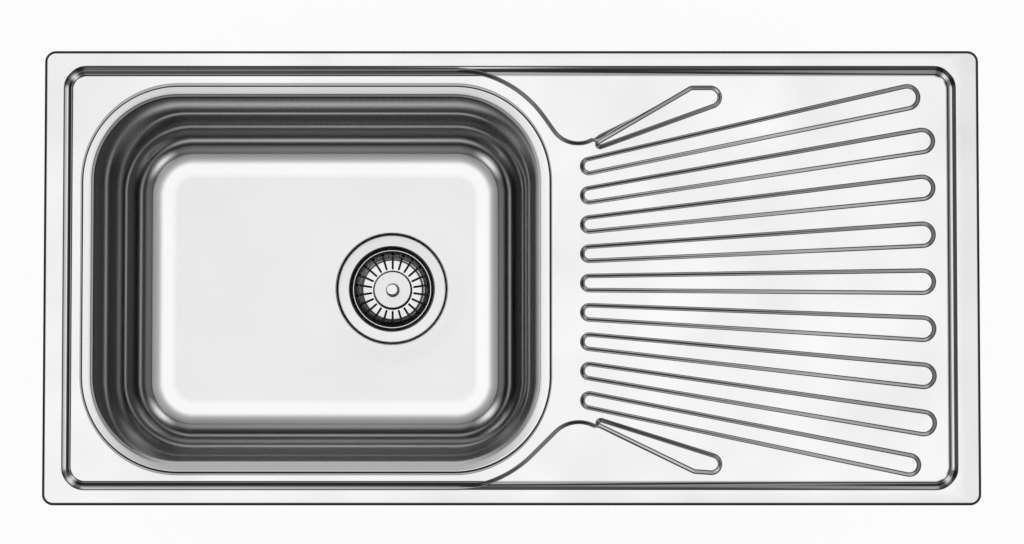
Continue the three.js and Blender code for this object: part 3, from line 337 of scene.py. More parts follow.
def look_up(places, table):
    """The values at these places, read between a table's pairs of place and value."""
    return np.interp(places, *np.array(table).T)


def blend(low, high, share):
    return low + (high - low) * share


def polygon_depth(points, x, y):
    """How far points lie inside a polygon, negative outside."""
    nearest = np.full_like(x, np.inf)
    inside = np.zeros(x.shape, bool)
    for (x0, y0), (x1, y1) in zip(points, points[1:] + points[:1]):
        dx, dy = x1 - x0, y1 - y0
        share = np.clip(((x - x0) * dx + (y - y0) * dy) / (dx * dx + dy * dy), 0, 1)
        nearest = np.minimum(nearest, np.hypot(x - x0 - share * dx, y - y0 - share * dy))
        if dy:
            crosses = (y0 > y) != (y1 > y)
            inside ^= crosses & (x < x0 + dx * (y - y0) / dy)
    return np.where(inside, nearest, -nearest)


def field_level(x):
    start = bowl_edges["right"] + RISE_START
    return ramp(x, start, long_ribs[1][1][0] + RIB_RIGHT_RADIUS, LEDGE, LEDGE + FIELD_RISE)


def shoulder_level(x, corner):
    start = corner.bowl_centre[0]
    end = corner.end[0] + corner.end[2]
    high = ramp(x, start, corner.tip[0], LEDGE + SHOULDER_HIGH, LEDGE + SHOULDER_LOW)
    low = ramp(x, corner.tip[0], end, LEDGE + SHOULDER_LOW, field_level(end))
    return np.where(x < corner.tip[0], high, low)


def border_width(drop, x, y):
    """How wide the border's step is where it falls this far, a little more at the right and back."""
    right, back = (np.maximum(part, 0) for part in facing(border, x, y))
    wider = BORDER_WIDER_BACK * back**2 + BORDER_WIDER_RIGHT * right**2
    return BORDER_WIDTH_FLAT + BORDER_WIDTH_GROWTH * drop + wider


def rib_share(circles, x, y):
    """How far across a rib's wall points lie, from 0 at its foot to 1 at its top."""
    return (hull_depth(circles, x, y) + RIB_OUTSET) / RIB_WALL


def seam_roll(x, y):
    """How far points lie from the bowl's seam, and how wide the rolled edge is there."""
    _, back = facing(seam, x, y)
    return -hull_depth(seam, x, y), blend(SEAM_ROLL_ENDS, SEAM_ROLL_SIDES, back**2)


def deck_height(x, y):
    level = field_level(x)
    for corner in corners:
        depth = polygon_depth(corner.shoulder_outline(), x, y)
        level = blend(level, shoulder_level(x, corner), wall(depth / SHOULDER_WALL))
        tip_top, end_top = LEDGE + SHORT_RIB_TIP_HEIGHT, LEDGE + SHORT_RIB_END_HEIGHT
        top = ramp(x, corner.tip[0], corner.end[0], tip_top, end_top)
        level = blend(level, top, wall(rib_share(corner.short_rib(), x, y)))
    for circles in long_ribs:
        level = blend(level, RIB_TOP, wall(rib_share(circles, x, y)))
    share = (hull_depth(border, x, y) + BORDER_OUTSET) / border_width(RIM_TOP - level, x, y)
    z = blend(RIM_TOP, level, wall(share, BORDER_SLOPES))
    from_seam, roll = seam_roll(x, y)
    z = z - SEAM_DROP * (1 - np.clip(from_seam / roll, 0, 1)) ** 2
    from_edge = np.clip(hull_depth(outline, x, y), 0, EDGE_BEND)
    return z - EDGE_BEND + np.sqrt(np.maximum(EDGE_BEND**2 - (EDGE_BEND - from_edge) ** 2, 0))


# ---- mesh helpers


def shade(piece, values, name="shade"):
    """How much darker than its steel each vertex is painted, from 0 to 1, mostly as painted shade, or
    another such measure.
    """
    attribute = piece.data.attributes.new(name, "FLOAT", "POINT")
    attribute.data.foreach_set("value", np.clip(values, 0, 1).astype(np.float32))


def make_mesh(name, vertices, faces, sharp_angle=None):
    mesh = bpy.data.meshes.new(name)
    mesh.from_pydata([tuple(c * MM for c in v) for v in vertices], [], faces)
    mesh.validate()
    mesh.shade_smooth()
    if sharp_angle is not None:
        mesh.set_sharp_from_angle(angle=math.radians(sharp_angle))
    piece = bpy.data.objects.new(name, mesh)
    bpy.context.scene.collection.objects.link(piece)
    return piece


def dress(piece, slot, body, *nodes):
    piece.data.materials.clear()
    piece.data.materials.append(materials[slot])
    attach(piece, body)
    if nodes:
        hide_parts(*nodes)


class Skin:
    """Collects the rings and faces of one closed surface."""

    def __init__(self):
        self.vertices = []
        self.faces = []

    def ring(self, points):
        start = len(self.vertices)
        self.vertices += [tuple(p) for p in points]
        return range(start, len(self.vertices))

    def band(self, first, second):
        count = len(first)
        for i in range(count):
            j = (i + 1) % count
            self.faces.append((first[i], first[j], second[j], second[i]))

    def bands(self, rings):
        for first, second in zip(rings, rings[1:]):
            self.band(first, second)


def soften(profile, radius):
    """A closed [r, z] profile with each corner rounded, but not on the axis or where it hardly turns."""
    steps, least_turn, most_cut = 3, math.radians(12), 0.45
    points = []
    for i, corner in enumerate(profile):
        here = Vector(corner)
        back = Vector(profile[i - 1]) - here
        on = Vector(profile[(i + 1) % len(profile)]) - here
        turn = math.pi - back.angle(on)
        if here.x == 0 or turn < least_turn:
            points.append(tuple(here))
            continue
        cut = min(radius * math.tan(turn / 2), most_cut * back.length, most_cut * on.length)
        start, end = here + back.normalized() * cut, here + on.normalized() * cut
        for k in range(steps + 1):
            t = k / steps
            points.append(tuple(start * (1 - t) ** 2 + here * 2 * t * (1 - t) + end * t * t))
    return points


def turned(name, profile, segments, sharp_angle=50):
    """A piece turned round the drain's axis. Its closed [r, z] profile keeps the metal on its left."""
    skin = Skin()
    rings = []
    middle_x, middle_y = drain
    turns = [2 * math.pi * i / segments for i in range(segments)]
    for r, z in profile:
        around = turns if r > 0 else [0]
        circle = [(middle_x + r * math.cos(a), middle_y + r * math.sin(a), z) for a in around]
        rings.append(skin.ring(circle))
    for first, second in zip(rings, rings[1:] + rings[:1]):
        for i in range(segments):
            j = (i + 1) % segments
            face = [first[i % len(first)], first[j % len(first)]]
            face += [second[j % len(second)], second[i % len(second)]]
            face = list(dict.fromkeys(face))
            if len(face) > 2:
                skin.faces.append(tuple(face))
    return make_mesh(name, skin.vertices, skin.faces, sharp_angle)


def carve(piece, cutters):
    """Cuts the piece by another one, which is then removed."""
    modifier = piece.modifiers.new("carve", "BOOLEAN")
    modifier.operation = "DIFFERENCE"
    modifier.solver = "EXACT"
    modifier.object = cutters
    bpy.context.view_layer.update()
    evaluated = piece.evaluated_get(bpy.context.evaluated_depsgraph_get())
    mesh = bpy.data.meshes.new_from_object(evaluated)
    piece.modifiers.clear()
    piece.data = mesh
    bpy.data.objects.remove(cutters)


def prisms(name, outlines, bottom, top):
    """Upright prisms over plan outlines given counterclockwise."""
    skin = Skin()
    for points in outlines:
        low = skin.ring([(x, y, bottom) for x, y in points])
        high = skin.ring([(x, y, top) for x, y in points])
        skin.band(low, high)
        skin.faces += [tuple(reversed(low)), tuple(high)]
    return make_mesh(name, skin.vertices, skin.faces)


# ---- deck mesh

WALL_SHARES = [i / 10 for i in range(11)]
BORDER_SHARES = [i / 28 for i in range(29)]
HOLD = 0.5  # a line this far into the flat keeps its shading clean
GRID = 14.0
FINE = math.radians(2.5)  # step of the lines round the bowl's corners
SEAM_SPACING = 0.35
CLOSEST = 1e-4  # plan points nearer to each other than this become one

# Shades say how much darker than its own colour the steel is painted, from 0 to 1, black: painted shade,
# and on the underside its plain unpolished finish.
EDGE_SHADE = 0.97  # painted shade on the turned-down edge and on the top next to it: full as far as the first width below, fading out by the second
EDGE_SHADE_FULL, EDGE_END = 2.3, 3.0
EDGE_LINES = (0.1, 0.25, 0.45, 0.7, EDGE_BEND, 1.7, EDGE_SHADE_FULL, EDGE_END, EDGE_END + HOLD)
# painted shade on the rim right of the border's step
RIGHT_RIM_SHADE = 0.11
UNDERSIDE_SHADE, UNDERSIDE_SATIN = 0.45, 0.5  # the underside is plain unpolished steel
# painted shade on the rolled edge, at shares of its width from the seam
SEAM_SHADES = ((0, 0.93), (0.28, 0.86), (0.4, 0.5), (0.7, 0.5), (0.8, 0.66), (0.95, 0.62), (1.05, 0))
# painted shade on the border's step at shares of its width: at the sink's ends, at its front and
# back, and in its corners, where the shaded part comes and goes over a little of the turn and of the step
BORDER_ENDS = ((0.56, 0), (0.66, 0.85), (0.72, 0.8), (0.78, 0.66), (0.88, 0.7), (0.98, 0))
BORDER_SIDES = ((0.02, 0), (0.1, 0.1), (0.28, 0.15), (0.4, 0.6), (0.6, 0.55), (0.88, 0.62), (1, 0))
BORDER_CORNER_SHADE = 0.8
BORDER_TURN_FADE, BORDER_STEP_FADE, BORDER_BRIGHT_TURN = 0.2, 0.1, 0.96
# painted shade on the long ribs: across their walls, along them, at the back and front, and round their
# ends
RIB_WALL_SHADES = ((0, 0), (0.15, 1), (0.85, 1), (1, 0))
RIB_ALONG = ((0, 0.2), (0.3, 0.5), (1, 1))
RIB_BACK_SHADE, RIB_FRONT_SHADE, RIB_END_SHADE = 0.5, 0.35, 0.8
RIB_END_REACH = 0.02  # share of a rib's length over which its end's painted shade comes in
# painted shade on the S-shaped steps, and on the short ribs' walls, which have two painted dark lines
# towards the border
SWEEP_SHADES = ((0, 0), (0.15, 0.75), (0.8, 0.75), (1, 0))
SHORT_RIB_OUTER = (
    *((0, 0), (0.1, 0.7), (0.3, 0.7), (0.4, 0.1)),
    *((0.65, 0.1), (0.75, 0.7), (0.9, 0.7), (1, 0)),
)
SHORT_RIB_INNER = ((0, 0), (0.15, 0.65), (0.8, 0.65), (1, 0))


def wall_lines(width, outset, shares=WALL_SHARES):
    """How far inside an outline the lines along its wall run, with one in the flat on each side."""
    return [share * width - outset for share in shares] + [-outset - HOLD, width - outset + HOLD]


def deck_lines():
    """Closed and open plan lines that the deck's mesh follows, its two outlines first."""
    closed, opened = [hull_points(outline), hull_points(seam, 0, FINE)], []
    for circles in long_ribs + [corner.short_rib() for corner in corners]:
        for inset in wall_lines(RIB_WALL, RIB_OUTSET):
            closed.append(hull_points(inset_circles(circles, inset), -inset, math.radians(12)))
    for corner in corners:
        opened += [corner.sweep_points(inset) for inset in wall_lines(SHOULDER_WALL, SHOULDER_OUTSET)]
    full = BORDER_WIDTH_FLAT + BORDER_WIDTH_GROWTH * BORDER_DEPTH + BORDER_WIDER_BACK
    closed += [hull_points(border, -inset) for inset in wall_lines(full, BORDER_OUTSET, BORDER_SHARES)]
    outsets = np.arange(SEAM_SPACING, SEAM_ROLL_SIDES + HOLD, SEAM_SPACING)
    closed += [hull_points(seam, outset, FINE) for outset in outsets]
    closed += [hull_points(outline, -inset) for inset in EDGE_LINES]
    return closed, opened


def deck_plan():
    """Plan points and triangles of the deck, from its outline to the bowl's seam."""
    points, edges = [], []
    for lines, is_closed in zip(deck_lines(), (True, False)):
        for line in lines:
            start = len(points)
            points += [Vector(p) for p in line]
            edges += [(i, i + 1) for i in range(start, len(points) - 1)]
            if is_closed:
                edges.append((len(points) - 1, start))
    xs = np.arange(deck_edges["left"] + GRID, deck_edges["right"], GRID)
    ys = np.arange(deck_edges["front"] + GRID, deck_edges["back"], GRID)
    points += [Vector((x, y)) for x in xs for y in ys]
    found, _, faces, *_ = delaunay_2d_cdt(points, edges, [], 0, CLOSEST)
    flat = np.array([tuple(p) for p in found])
    middles = flat[np.array(faces)].mean(axis=1)
    kept = (hull_depth(outline, *middles.T) > 0) & (hull_depth(seam, *middles.T) < 0)
    faces = [tuple(f) for f, k in zip(faces, kept) if k]
    used = sorted({i for f in faces for i in f})
    place = {old: new for new, old in enumerate(used)}
    return flat[used], [tuple(place[i] for i in f) for f in faces]


def open_edges(faces):
    """Directed edges that belong to one face only."""
    directed = {(f[i], f[(i + 1) % 3]) for f in faces for i in range(3)}
    return [(a, b) for a, b in directed if (b, a) not in directed]


def deck_normals(x, y):
    """Unit normals of the deck's upper face."""
    step = 0.02
    across = (deck_height(x + step, y) - deck_height(x - step, y)) / (2 * step)
    along = (deck_height(x, y + step) - deck_height(x, y - step)) / (2 * step)
    normals = np.stack([-across, -along, np.ones_like(x)], axis=1)
    return normals / np.linalg.norm(normals, axis=1, keepdims=True)


def border_shade(x, y):
    """How much painted shade the border's step takes: all of it at the front and back, its lower
    part at the ends, and nothing in the very corners."""
    right, back = facing(border, x, y)
    share = (hull_depth(border, x, y) + BORDER_OUTSET) / border_width(BORDER_DEPTH, x, y)
    across, along = look_up(share, BORDER_ENDS), look_up(share, BORDER_SIDES)
    turn = diagonal(right, back)
    on_step = np.clip(np.minimum(share, 1 - share) / BORDER_STEP_FADE, 0, 1)
    matte_or_painted_shade = BORDER_CORNER_SHADE * on_step * np.clip(turn / BORDER_TURN_FADE, 0, 1)
    not_bright = np.clip((BORDER_BRIGHT_TURN - turn) / BORDER_TURN_FADE, 0, 1)
    return np.maximum(blend(across, along, back**2), matte_or_painted_shade) * not_bright


def rib_shade(x, y):
    """How much painted shade the long ribs' walls take: most round their ends, then along their back
    edges.
    """
    dark = np.zeros_like(x)
    for circles in long_ribs:
        (left, y0, _), (right, y1, _) = circles
        on_wall = look_up(rib_share(circles, x, y), RIB_WALL_SHADES)
        along = (x - left) / (right - left)
        is_back = y > y0 + (y1 - y0) * along
        matte_or_painted_shade = np.where(is_back, RIB_BACK_SHADE, RIB_FRONT_SHADE) * look_up(along, RIB_ALONG)
        beyond = np.interp(along, (-RIB_END_REACH, 0, 1, 1 + RIB_END_REACH), (1, 0, 0, 1))
        dark = np.maximum(dark, on_wall * np.maximum(matte_or_painted_shade, RIB_END_SHADE * beyond))
    return dark


def corner_shade(x, y):
    """How much painted shade the raised corners' S-shaped steps and short ribs take."""
    dark = np.zeros_like(x)
    in_border = np.clip(hull_depth(border, x, y) - STEP_WIDTH, 0, 1)
    for corner in corners:
        (x0, y0, r0), (x1, y1, _) = corner.tip, corner.end
        across = rib_share(corner.short_rib(), x, y)
        is_outer = corner.side * (y - y0 - (y1 - y0) * (x - x0) / (x1 - x0)) > 0
        outer, inner = look_up(across, SHORT_RIB_OUTER), look_up(across, SHORT_RIB_INNER)
        share = polygon_depth(corner.shoulder_outline(), x, y) / SHOULDER_WALL
        step = look_up(share, SWEEP_SHADES) * in_border * (x < x0 - r0)
        dark = np.maximum(dark, np.maximum(step, np.where(is_outer, outer, inner)))
    return dark


def build_deck():
    flat, faces = deck_plan()
    x, y = flat.T
    top = deck_height(x, y)
    count = len(flat)
    vertices = [(*p, z) for p, z in zip(flat, top)]
    # the underside, one sheet below, with the turned-down edge drawn inwards
    edge_depth = hull_depth(outline, x, y)
    vertices += [(*p, z) for p, z in zip(flat, top - SHEET)]
    below = [tuple(i + count for i in reversed(f)) for f in faces]
    solid_faces = faces + below
    lower = {}
    for a, b in open_edges(faces):
        at_seam = edge_depth[a] > EDGE_BEND
        if at_seam:
            solid_faces.append((b, a, a + count, b + count))
            continue
        for i in (a, b):
            if i not in lower:
                lower[i] = len(vertices)
                vertices.append((*flat[i], SKIRT_BOTTOM))
                inner = flat[i] * (1 - 2 * SHEET / np.abs(flat[i]).max())
                vertices.append((*inner, SKIRT_BOTTOM))
        rows = [(a, b), (lower[a], lower[b]), (lower[a] + 1, lower[b] + 1), (a + count, b + count)]
        solid_faces += [(second, first, *below_it) for (first, second), below_it in zip(rows, rows[1:])]
    deck = make_mesh("pressed_deck", vertices, solid_faces, 60)
    normals = deck_normals(x, y)
    loops = [normals[i] for face in faces for i in face]
    loops += [-normals[i - count] for face in below for i in face]
    for polygon in deck.data.polygons[2 * len(faces) :]:
        loops += [polygon.normal] * len(polygon.vertices)
    deck.data.normals_split_custom_set([tuple(n) for n in loops])
    from_seam, roll = seam_roll(x, y)
    # painted shade at the outer edge, on the rolled edge at the seam, on the border's step, on the ribs
    # and raised corners, and on the right rim
    shades = [
        EDGE_SHADE * ramp(edge_depth, EDGE_SHADE_FULL, EDGE_END, 1, 0),
        look_up(from_seam / roll, SEAM_SHADES),
        border_shade(x, y),
        rib_shade(x, y),
        corner_shade(x, y),
        RIGHT_RIM_SHADE * np.clip(x - border_edges["right"] - BORDER_OUTSET, 0, 1),
    ]
    # the underside is plain unpolished steel but takes the edge's painted shade near the outline, as the
    # turned-down edge's lower vertices do
    below_dark = np.where(edge_depth < EDGE_SHADE_FULL, EDGE_SHADE, UNDERSIDE_SHADE)
    rest = np.full(len(vertices) - 2 * count, EDGE_SHADE)
    shade(deck, np.concatenate([np.max(shades, axis=0), below_dark, rest]))
    return deck


# ---- bowl mesh


def foot_slope(edge_inset, inset):
    """Slope in degrees of the rounding between wall and floor, or of the floor's rising band."""
    if inset > edge_inset:
        return FOOT[0][1] * (1 - (inset - edge_inset) / FLOOR_BAND)
    plain = math.degrees(math.asin((edge_inset - inset) / FLOOR_RADIUS))
    return look_up(plain, FOOT)


def bowl_profile():
    """Points of the bowl's inner face as [inset from its outline, z, slope angle downwards]."""
    land = LEDGE - SEAM_DROP - SEAM_STEP
    points = [(SEAT_GAP + inset, land + z, a) for inset, z, a in LAND_EDGE]
    points += [(BOWL_LAND / 2, land, 0), (BOWL_LAND, land, 0)]
    steep = math.pi / 2 - DRAFT
    lip_inset, lip_z = BOWL_LAND, land
    for inset in np.linspace(LIP[0][0], LIP[-1][0], LIP_STEPS)[1:]:
        middle = math.radians(look_up((inset + lip_inset) / 2, LIP))
        lip_z -= (inset - lip_inset) * math.tan(middle)
        lip_inset = inset
        points.append((inset, lip_z, math.radians(look_up(inset, LIP))))
    edge_inset = lip_inset + (lip_z - floor_top) * math.tan(DRAFT) + FLOOR_RADIUS * math.sin(steep)
    rounding = [(edge_inset + FLOOR_BAND, floor_top, 0.0)]
    insets = np.linspace(edge_inset + FLOOR_BAND, edge_inset, BAND_STEPS + 1)[1:]
    foot_bends = [math.radians(plain) for plain, _ in FOOT[1:3]]
    turns = np.union1d(np.linspace(0, steep, FOOT_STEPS)[1:], foot_bends)
    insets = np.append(insets, edge_inset - FLOOR_RADIUS * np.sin(turns))
    for inset in insets:
        before, z, _ = rounding[-1]
        a, half = (math.radians(foot_slope(edge_inset, i)) for i in (inset, (inset + before) / 2))
        rounding.append((inset, z + (before - inset) * math.tan(half), min(a, steep)))
    wall_inset, wall_z, _ = rounding[-1]
    for i in range(1, WALL_STEPS):
        share = i / WALL_STEPS
        points.append((blend(lip_inset, wall_inset, share), blend(lip_z, wall_z, share), steep))
    points += reversed(rounding)
    return points


CORNER_STEPS, SIDE_STEP = 34, 14.0


def dense_rectangle(circles, offset):
    """A rounded rectangle with points along its straights too; the count never changes."""
    points = []
    arcs = hull_arcs(circles)
    for i, (x, y, r, start, end) in enumerate(arcs):
        points += arc(x, y, r + offset, start, end, (end - start) / CORNER_STEPS)
        last = np.array(points[-1])
        next_x, next_y, next_r, turn, _ = arcs[(i + 1) % len(arcs)]
        across = (next_r + offset) * np.array([math.cos(turn), math.sin(turn)])
        following = np.array([next_x, next_y]) + across
        pieces = max(2, round(math.hypot(next_x - x, next_y - y) / SIDE_STEP))
        points += [tuple(blend(last, following, k / pieces)) for k in range(1, pieces)]
    return points


# painted shade on the bowl at distances inside its outline: its lip, the foot of its rounding and its
# floor
LIP_SHADES = ((7, 0.02), (8.8, 0.1), (10, 0.28), (11.4, 0.5), (12.5, 0.7), (13.6, 0.88), (16, 0.92))
FOOT_SHADES = ((46, 0.94), (49, 0.9), (51.5, 0.8), (53.5, 0.64), (58, 0.62), (60.5, 0.5), (62.6, 0.25))
BOWL_SHADES = (*LIP_SHADES, *FOOT_SHADES, (64.5, 0), (74, 0), (80, 0.13))
FLOOR_STEPS, DISH_STEPS = 5, 8
DOWN_SHARE = 0.12  # a streak's place is its inset from the outline and this share of its depth
# painted reflections: level light streaks round the wall, made satin, with places, half widths
# and lightness at the left, back, right and front
PAINTED_REFLECTION_STREAKS = (
    ((25.8, 21.5, 15, 11.5), (2.4, 5.5, 3.4, 3), (0.6, 1, 0.5, 0.5)),
    ((39.5, 31, 31, 26.4), (3.6, 1.8, 3, 2.4), (0.35, 1, 0.85, 0.35)),
    ((46.7, 45.4, 45, 48.1), (1.8, 2.2, 3, 2.8), (0.8, 1, 0.85, 0.95)),
    ((53, 52, 38, 55), (3, 6, 3.2, 4), (0.06, 0.18, 0.8, 0.42)),
    ((62.7, 60.7, 62.2, 62), (2, 2.8, 2.2, 2.2), (0.65, 1, 0.7, 0.75)),
    ((72, 71, 72, 73), (4, 7, 4, 5), (0.2, 0.3, 0.2, 0.45)),
)
STREAK_WIDTH, STREAK_CORNER_LOSS = 0.8, 0.6  # their soft edges, and their loss in the corners
# painted highlights across the wall's corners: place, half width and lightness
PAINTED_HIGHLIGHT_PATCHES = ((29, 6, 0.7), (56, 3.6, 1), (70.5, 5, 1))
LAND_SHADE = np.array([0.08, 0.3, 0.06, 0.55])  # painted shade on the bowl's land at the left, back, right and front
LAND_START, LAND_END = 3.0, 12.0


def streak(measure, at, half):
    """How much of the surface is a streak: 1 in its middle, fading to both sides."""
    return np.exp(-(((measure - at) / (STREAK_WIDTH * half)) ** 2))


def satin_and_painted_reflection(measure, right, back):
    """How much of the surface is made satin to carry painted reflection streaks, and how light they are,
    at a place facing this way; painted highlight patches across the corners stay metal.
    """
    corner = diagonal(right, back)
    part, light = np.zeros_like(right), np.zeros_like(right)
    for row in PAINTED_REFLECTION_STREAKS:
        at, half, level = np.array(row) @ towards_sides(right, back)
        here = streak(measure, at, half)
        part = np.maximum(part, here)
        light = np.maximum(light, here * level * (1 - STREAK_CORNER_LOSS * corner))
    for at, half, level in PAINTED_HIGHLIGHT_PATCHES:
        here = corner**2 * streak(measure, at, half)
        part = part * (1 - here)
        light = np.maximum(light, here * level)
    return part, light


def build_bowl():
    profile = bowl_profile()
    skin = Skin()
    inner, outer = [], []
    dark, satin_and_painted_streaks = [], []
    right, back = facing(bowl_plan, *np.array(dense_rectangle(bowl_plan, 0)).T)
    for inset, z, a in profile:
        points = dense_rectangle(bowl_plan, -inset)
        inner.append(skin.ring((x, y, z) for x, y in points))
        # painted reflection streaks and highlight patches, and painted shade by inset and on the land
        part, light = satin_and_painted_reflection(inset + DOWN_SHARE * (LEDGE - z), right, back)
        metal_light = 1 - look_up(inset, BOWL_SHADES)
        if LAND_START < inset < LAND_END:
            metal_light = metal_light * (1 - LAND_SHADE @ towards_sides(right, back))
        dark += [*(1 - light - (1 - part) * metal_light), *np.full(len(points), UNDERSIDE_SHADE)]
        satin_and_painted_streaks += [*part, *np.full(len(points), UNDERSIDE_SATIN)]
        shifted = dense_rectangle(bowl_plan, -inset + SHEET * math.sin(a))
        outer.append(skin.ring((x, y, z - SHEET * math.cos(a)) for x, y in shifted))
    last = np.array(dense_rectangle(bowl_plan, -profile[-1][0]))
    angles = np.arctan2(last[:, 1] - drain[1], last[:, 0] - drain[0])
    unit = np.stack([np.cos(angles), np.sin(angles)], axis=1)
    centre = np.array(drain)

    floor_in, floor_out = [inner[-1]], [outer[-1]]

    def floor_rings(plan, z, out=0):
        floor_in.append(skin.ring((x, y, z) for x, y in plan))
        floor_out.append(skin.ring((x, y, z - SHEET) for x, y in plan + out * unit))

    for i in range(1, FLOOR_STEPS):
        floor_rings(blend(last, centre + DISH_RADIUS * unit, i / FLOOR_STEPS), floor_top)
    for i in range(DISH_STEPS + 1):
        radius = blend(DISH_RADIUS, RECESS_RADIUS + RECESS_EDGE[0][0], i / DISH_STEPS)
        fall = DISH_FALL * float(wall(i / DISH_STEPS, DISH_SLOPES))
        floor_rings(centre + radius * unit, floor_top - fall)
    for out, fall in RECESS_EDGE[1:]:
        floor_rings(centre + (RECESS_RADIUS + out) * unit, dish_bottom - fall, RECESS_WALL)
    floor_rings(centre + DRAIN_HOLE * unit, recess_top)
    skin.bands([outer[0]] + inner)
    skin.bands(floor_in)
    skin.band(floor_in[-1], floor_out[-1])
    skin.bands(floor_out[::-1])
    skin.bands(outer[::-1])
    bowl = make_mesh("drawn_bowl", skin.vertices, skin.faces, 60)
    floor_dark = BOWL_SHADES[-1][1]
    rest = len(skin.vertices) - len(dark)
    dark = np.array(dark + [floor_dark] * rest)
    satin_and_painted_streaks = np.array(satin_and_painted_streaks + [0] * rest)
    for ring in floor_out:
        dark[ring], satin_and_painted_streaks[ring] = UNDERSIDE_SHADE, UNDERSIDE_SATIN
    shade(bowl, dark)
    shade(bowl, satin_and_painted_streaks, "satin_and_painted_reflection")
    return bowl


# ---- strainer meshes

FLANGE_RADIUS = 57.0
THROAT_RADIUS, THROAT_ROUNDING = 43.0, 3.0
SEAT_RADIUS = 40.0
CUP_WALL = 1.5
CUP_CHAMFER, FLOOR_CHAMFER = 4.0, 3.0  # at the cup's lower edge, outside and inside
OUTLET_RADIUS = 19.0
OUTLET_WALL = 2.5
CUP_FLOOR = 2.0
OUTLET_LENGTH = 21.0
SEAT_DEPTH = 9.0
FLANGE_THICKNESS, FLANGE_CHAMFER, FLANGE_TAPER = 1.5, 0.5, 0.7
FLANGE_SEAL = 1.5
STEM_RADIUS = 3.0
BOLT_CLEARANCE = 0.4
STEM_BORE = STEM_RADIUS + BOLT_CLEARANCE
CROSSBAR_DROP, CROSSBAR_HEIGHT, CROSSBAR_WIDTH, CROSSBAR_HUB = 6.0, 4.0, 5.0, 6.5
CROSSBAR_OVERLAP, ARM_LOWER = 0.5, 0.2  # the arms start inside the hub and are a little thinner
BASKET_SHEET = 0.8
BASKET_BEND = 9.0
BASKET_DEPTH = 17.0
BASKET_RIM, BASKET_RIM_HEIGHT = 41.7, 1.4
BASKET_WALL = 39.2
PLATEAU_RADIUS, PLATEAU_HEIGHT, PLATEAU_BEND = 19.3, 5.0, 1.4
RIM_BRIGHT = 0.8  # width of the rim's outer edge that stays bright, outside the painted shade in its groove
BRIGHT_RADIUS, BEND_SHADE_FADE = 29.5, 3.0  # the basket's floor takes painted shade outside this, fading in over this width
BEND_SHADE_LEVEL, BEND_SHADE_TURN = 0.5, 0.35  # painted shade, most at the front
CUP_SHADE = 0.985  # painted shade inside the cup, which fades over the throat's rounding; it also scales the basket's painted shade
THROAT_FADE = (44.5, 45.9)
# painted shade on the basket's plateau, and on its step towards the front
PLATEAU_SHADE, PLATEAU_STEP_SHADE = 0.08, 0.6
FLANGE_SHADE, FLANGE_EVEN = 0.14, 0.6  # painted shade on the flange, darker towards the back
SLOT_COUNT, SLOT_INNER, SLOT_OUTER, SLOT_WIDTH = 22, 22.0, 36.2, 2.3
SLOT_BELOW, SLOT_ABOVE = 4.0, 8.0  # how far the slots' cutters reach
KNOB_RADIUS, KNOB_HEIGHT, KNOB_GAP = 6.4, 9.0, 0.8
# the knob's side: how far outside its radius, and the share of its height
KNOB_SIDE = ((-2, 0), (-2.4, 0.4), (-0.4, 0.55), (0, 0.65), (0, 0.9), (-0.4, 0.96), (-1.2, 1))

flange_underside = recess_top + FLANGE_SEAL
flange_top = flange_underside + FLANGE_THICKNESS
seat_top = flange_top - SEAT_DEPTH
basket_rim_underside = seat_top + SEAT_GAP
basket_floor = seat_top - BASKET_DEPTH
plateau_top = basket_floor + PLATEAU_HEIGHT
outlet_end = cup_low.z
cup_underside = outlet_end + OUTLET_LENGTH
cup_floor_top = cup_underside + CUP_FLOOR
crossbar_top = cup_floor_top - CROSSBAR_DROP
crossbar_bottom = crossbar_top - CROSSBAR_HEIGHT


def from_drain(piece):
    """Each vertex's distance from the drain's axis, direction and height."""
    place = np.array([vertex.co[:] for vertex in piece.data.vertices]) / MM
    right, back = place[:, 0] - drain[0], place[:, 1] - drain[1]
    return np.hypot(right, back), np.arctan2(back, right), place[:, 2]


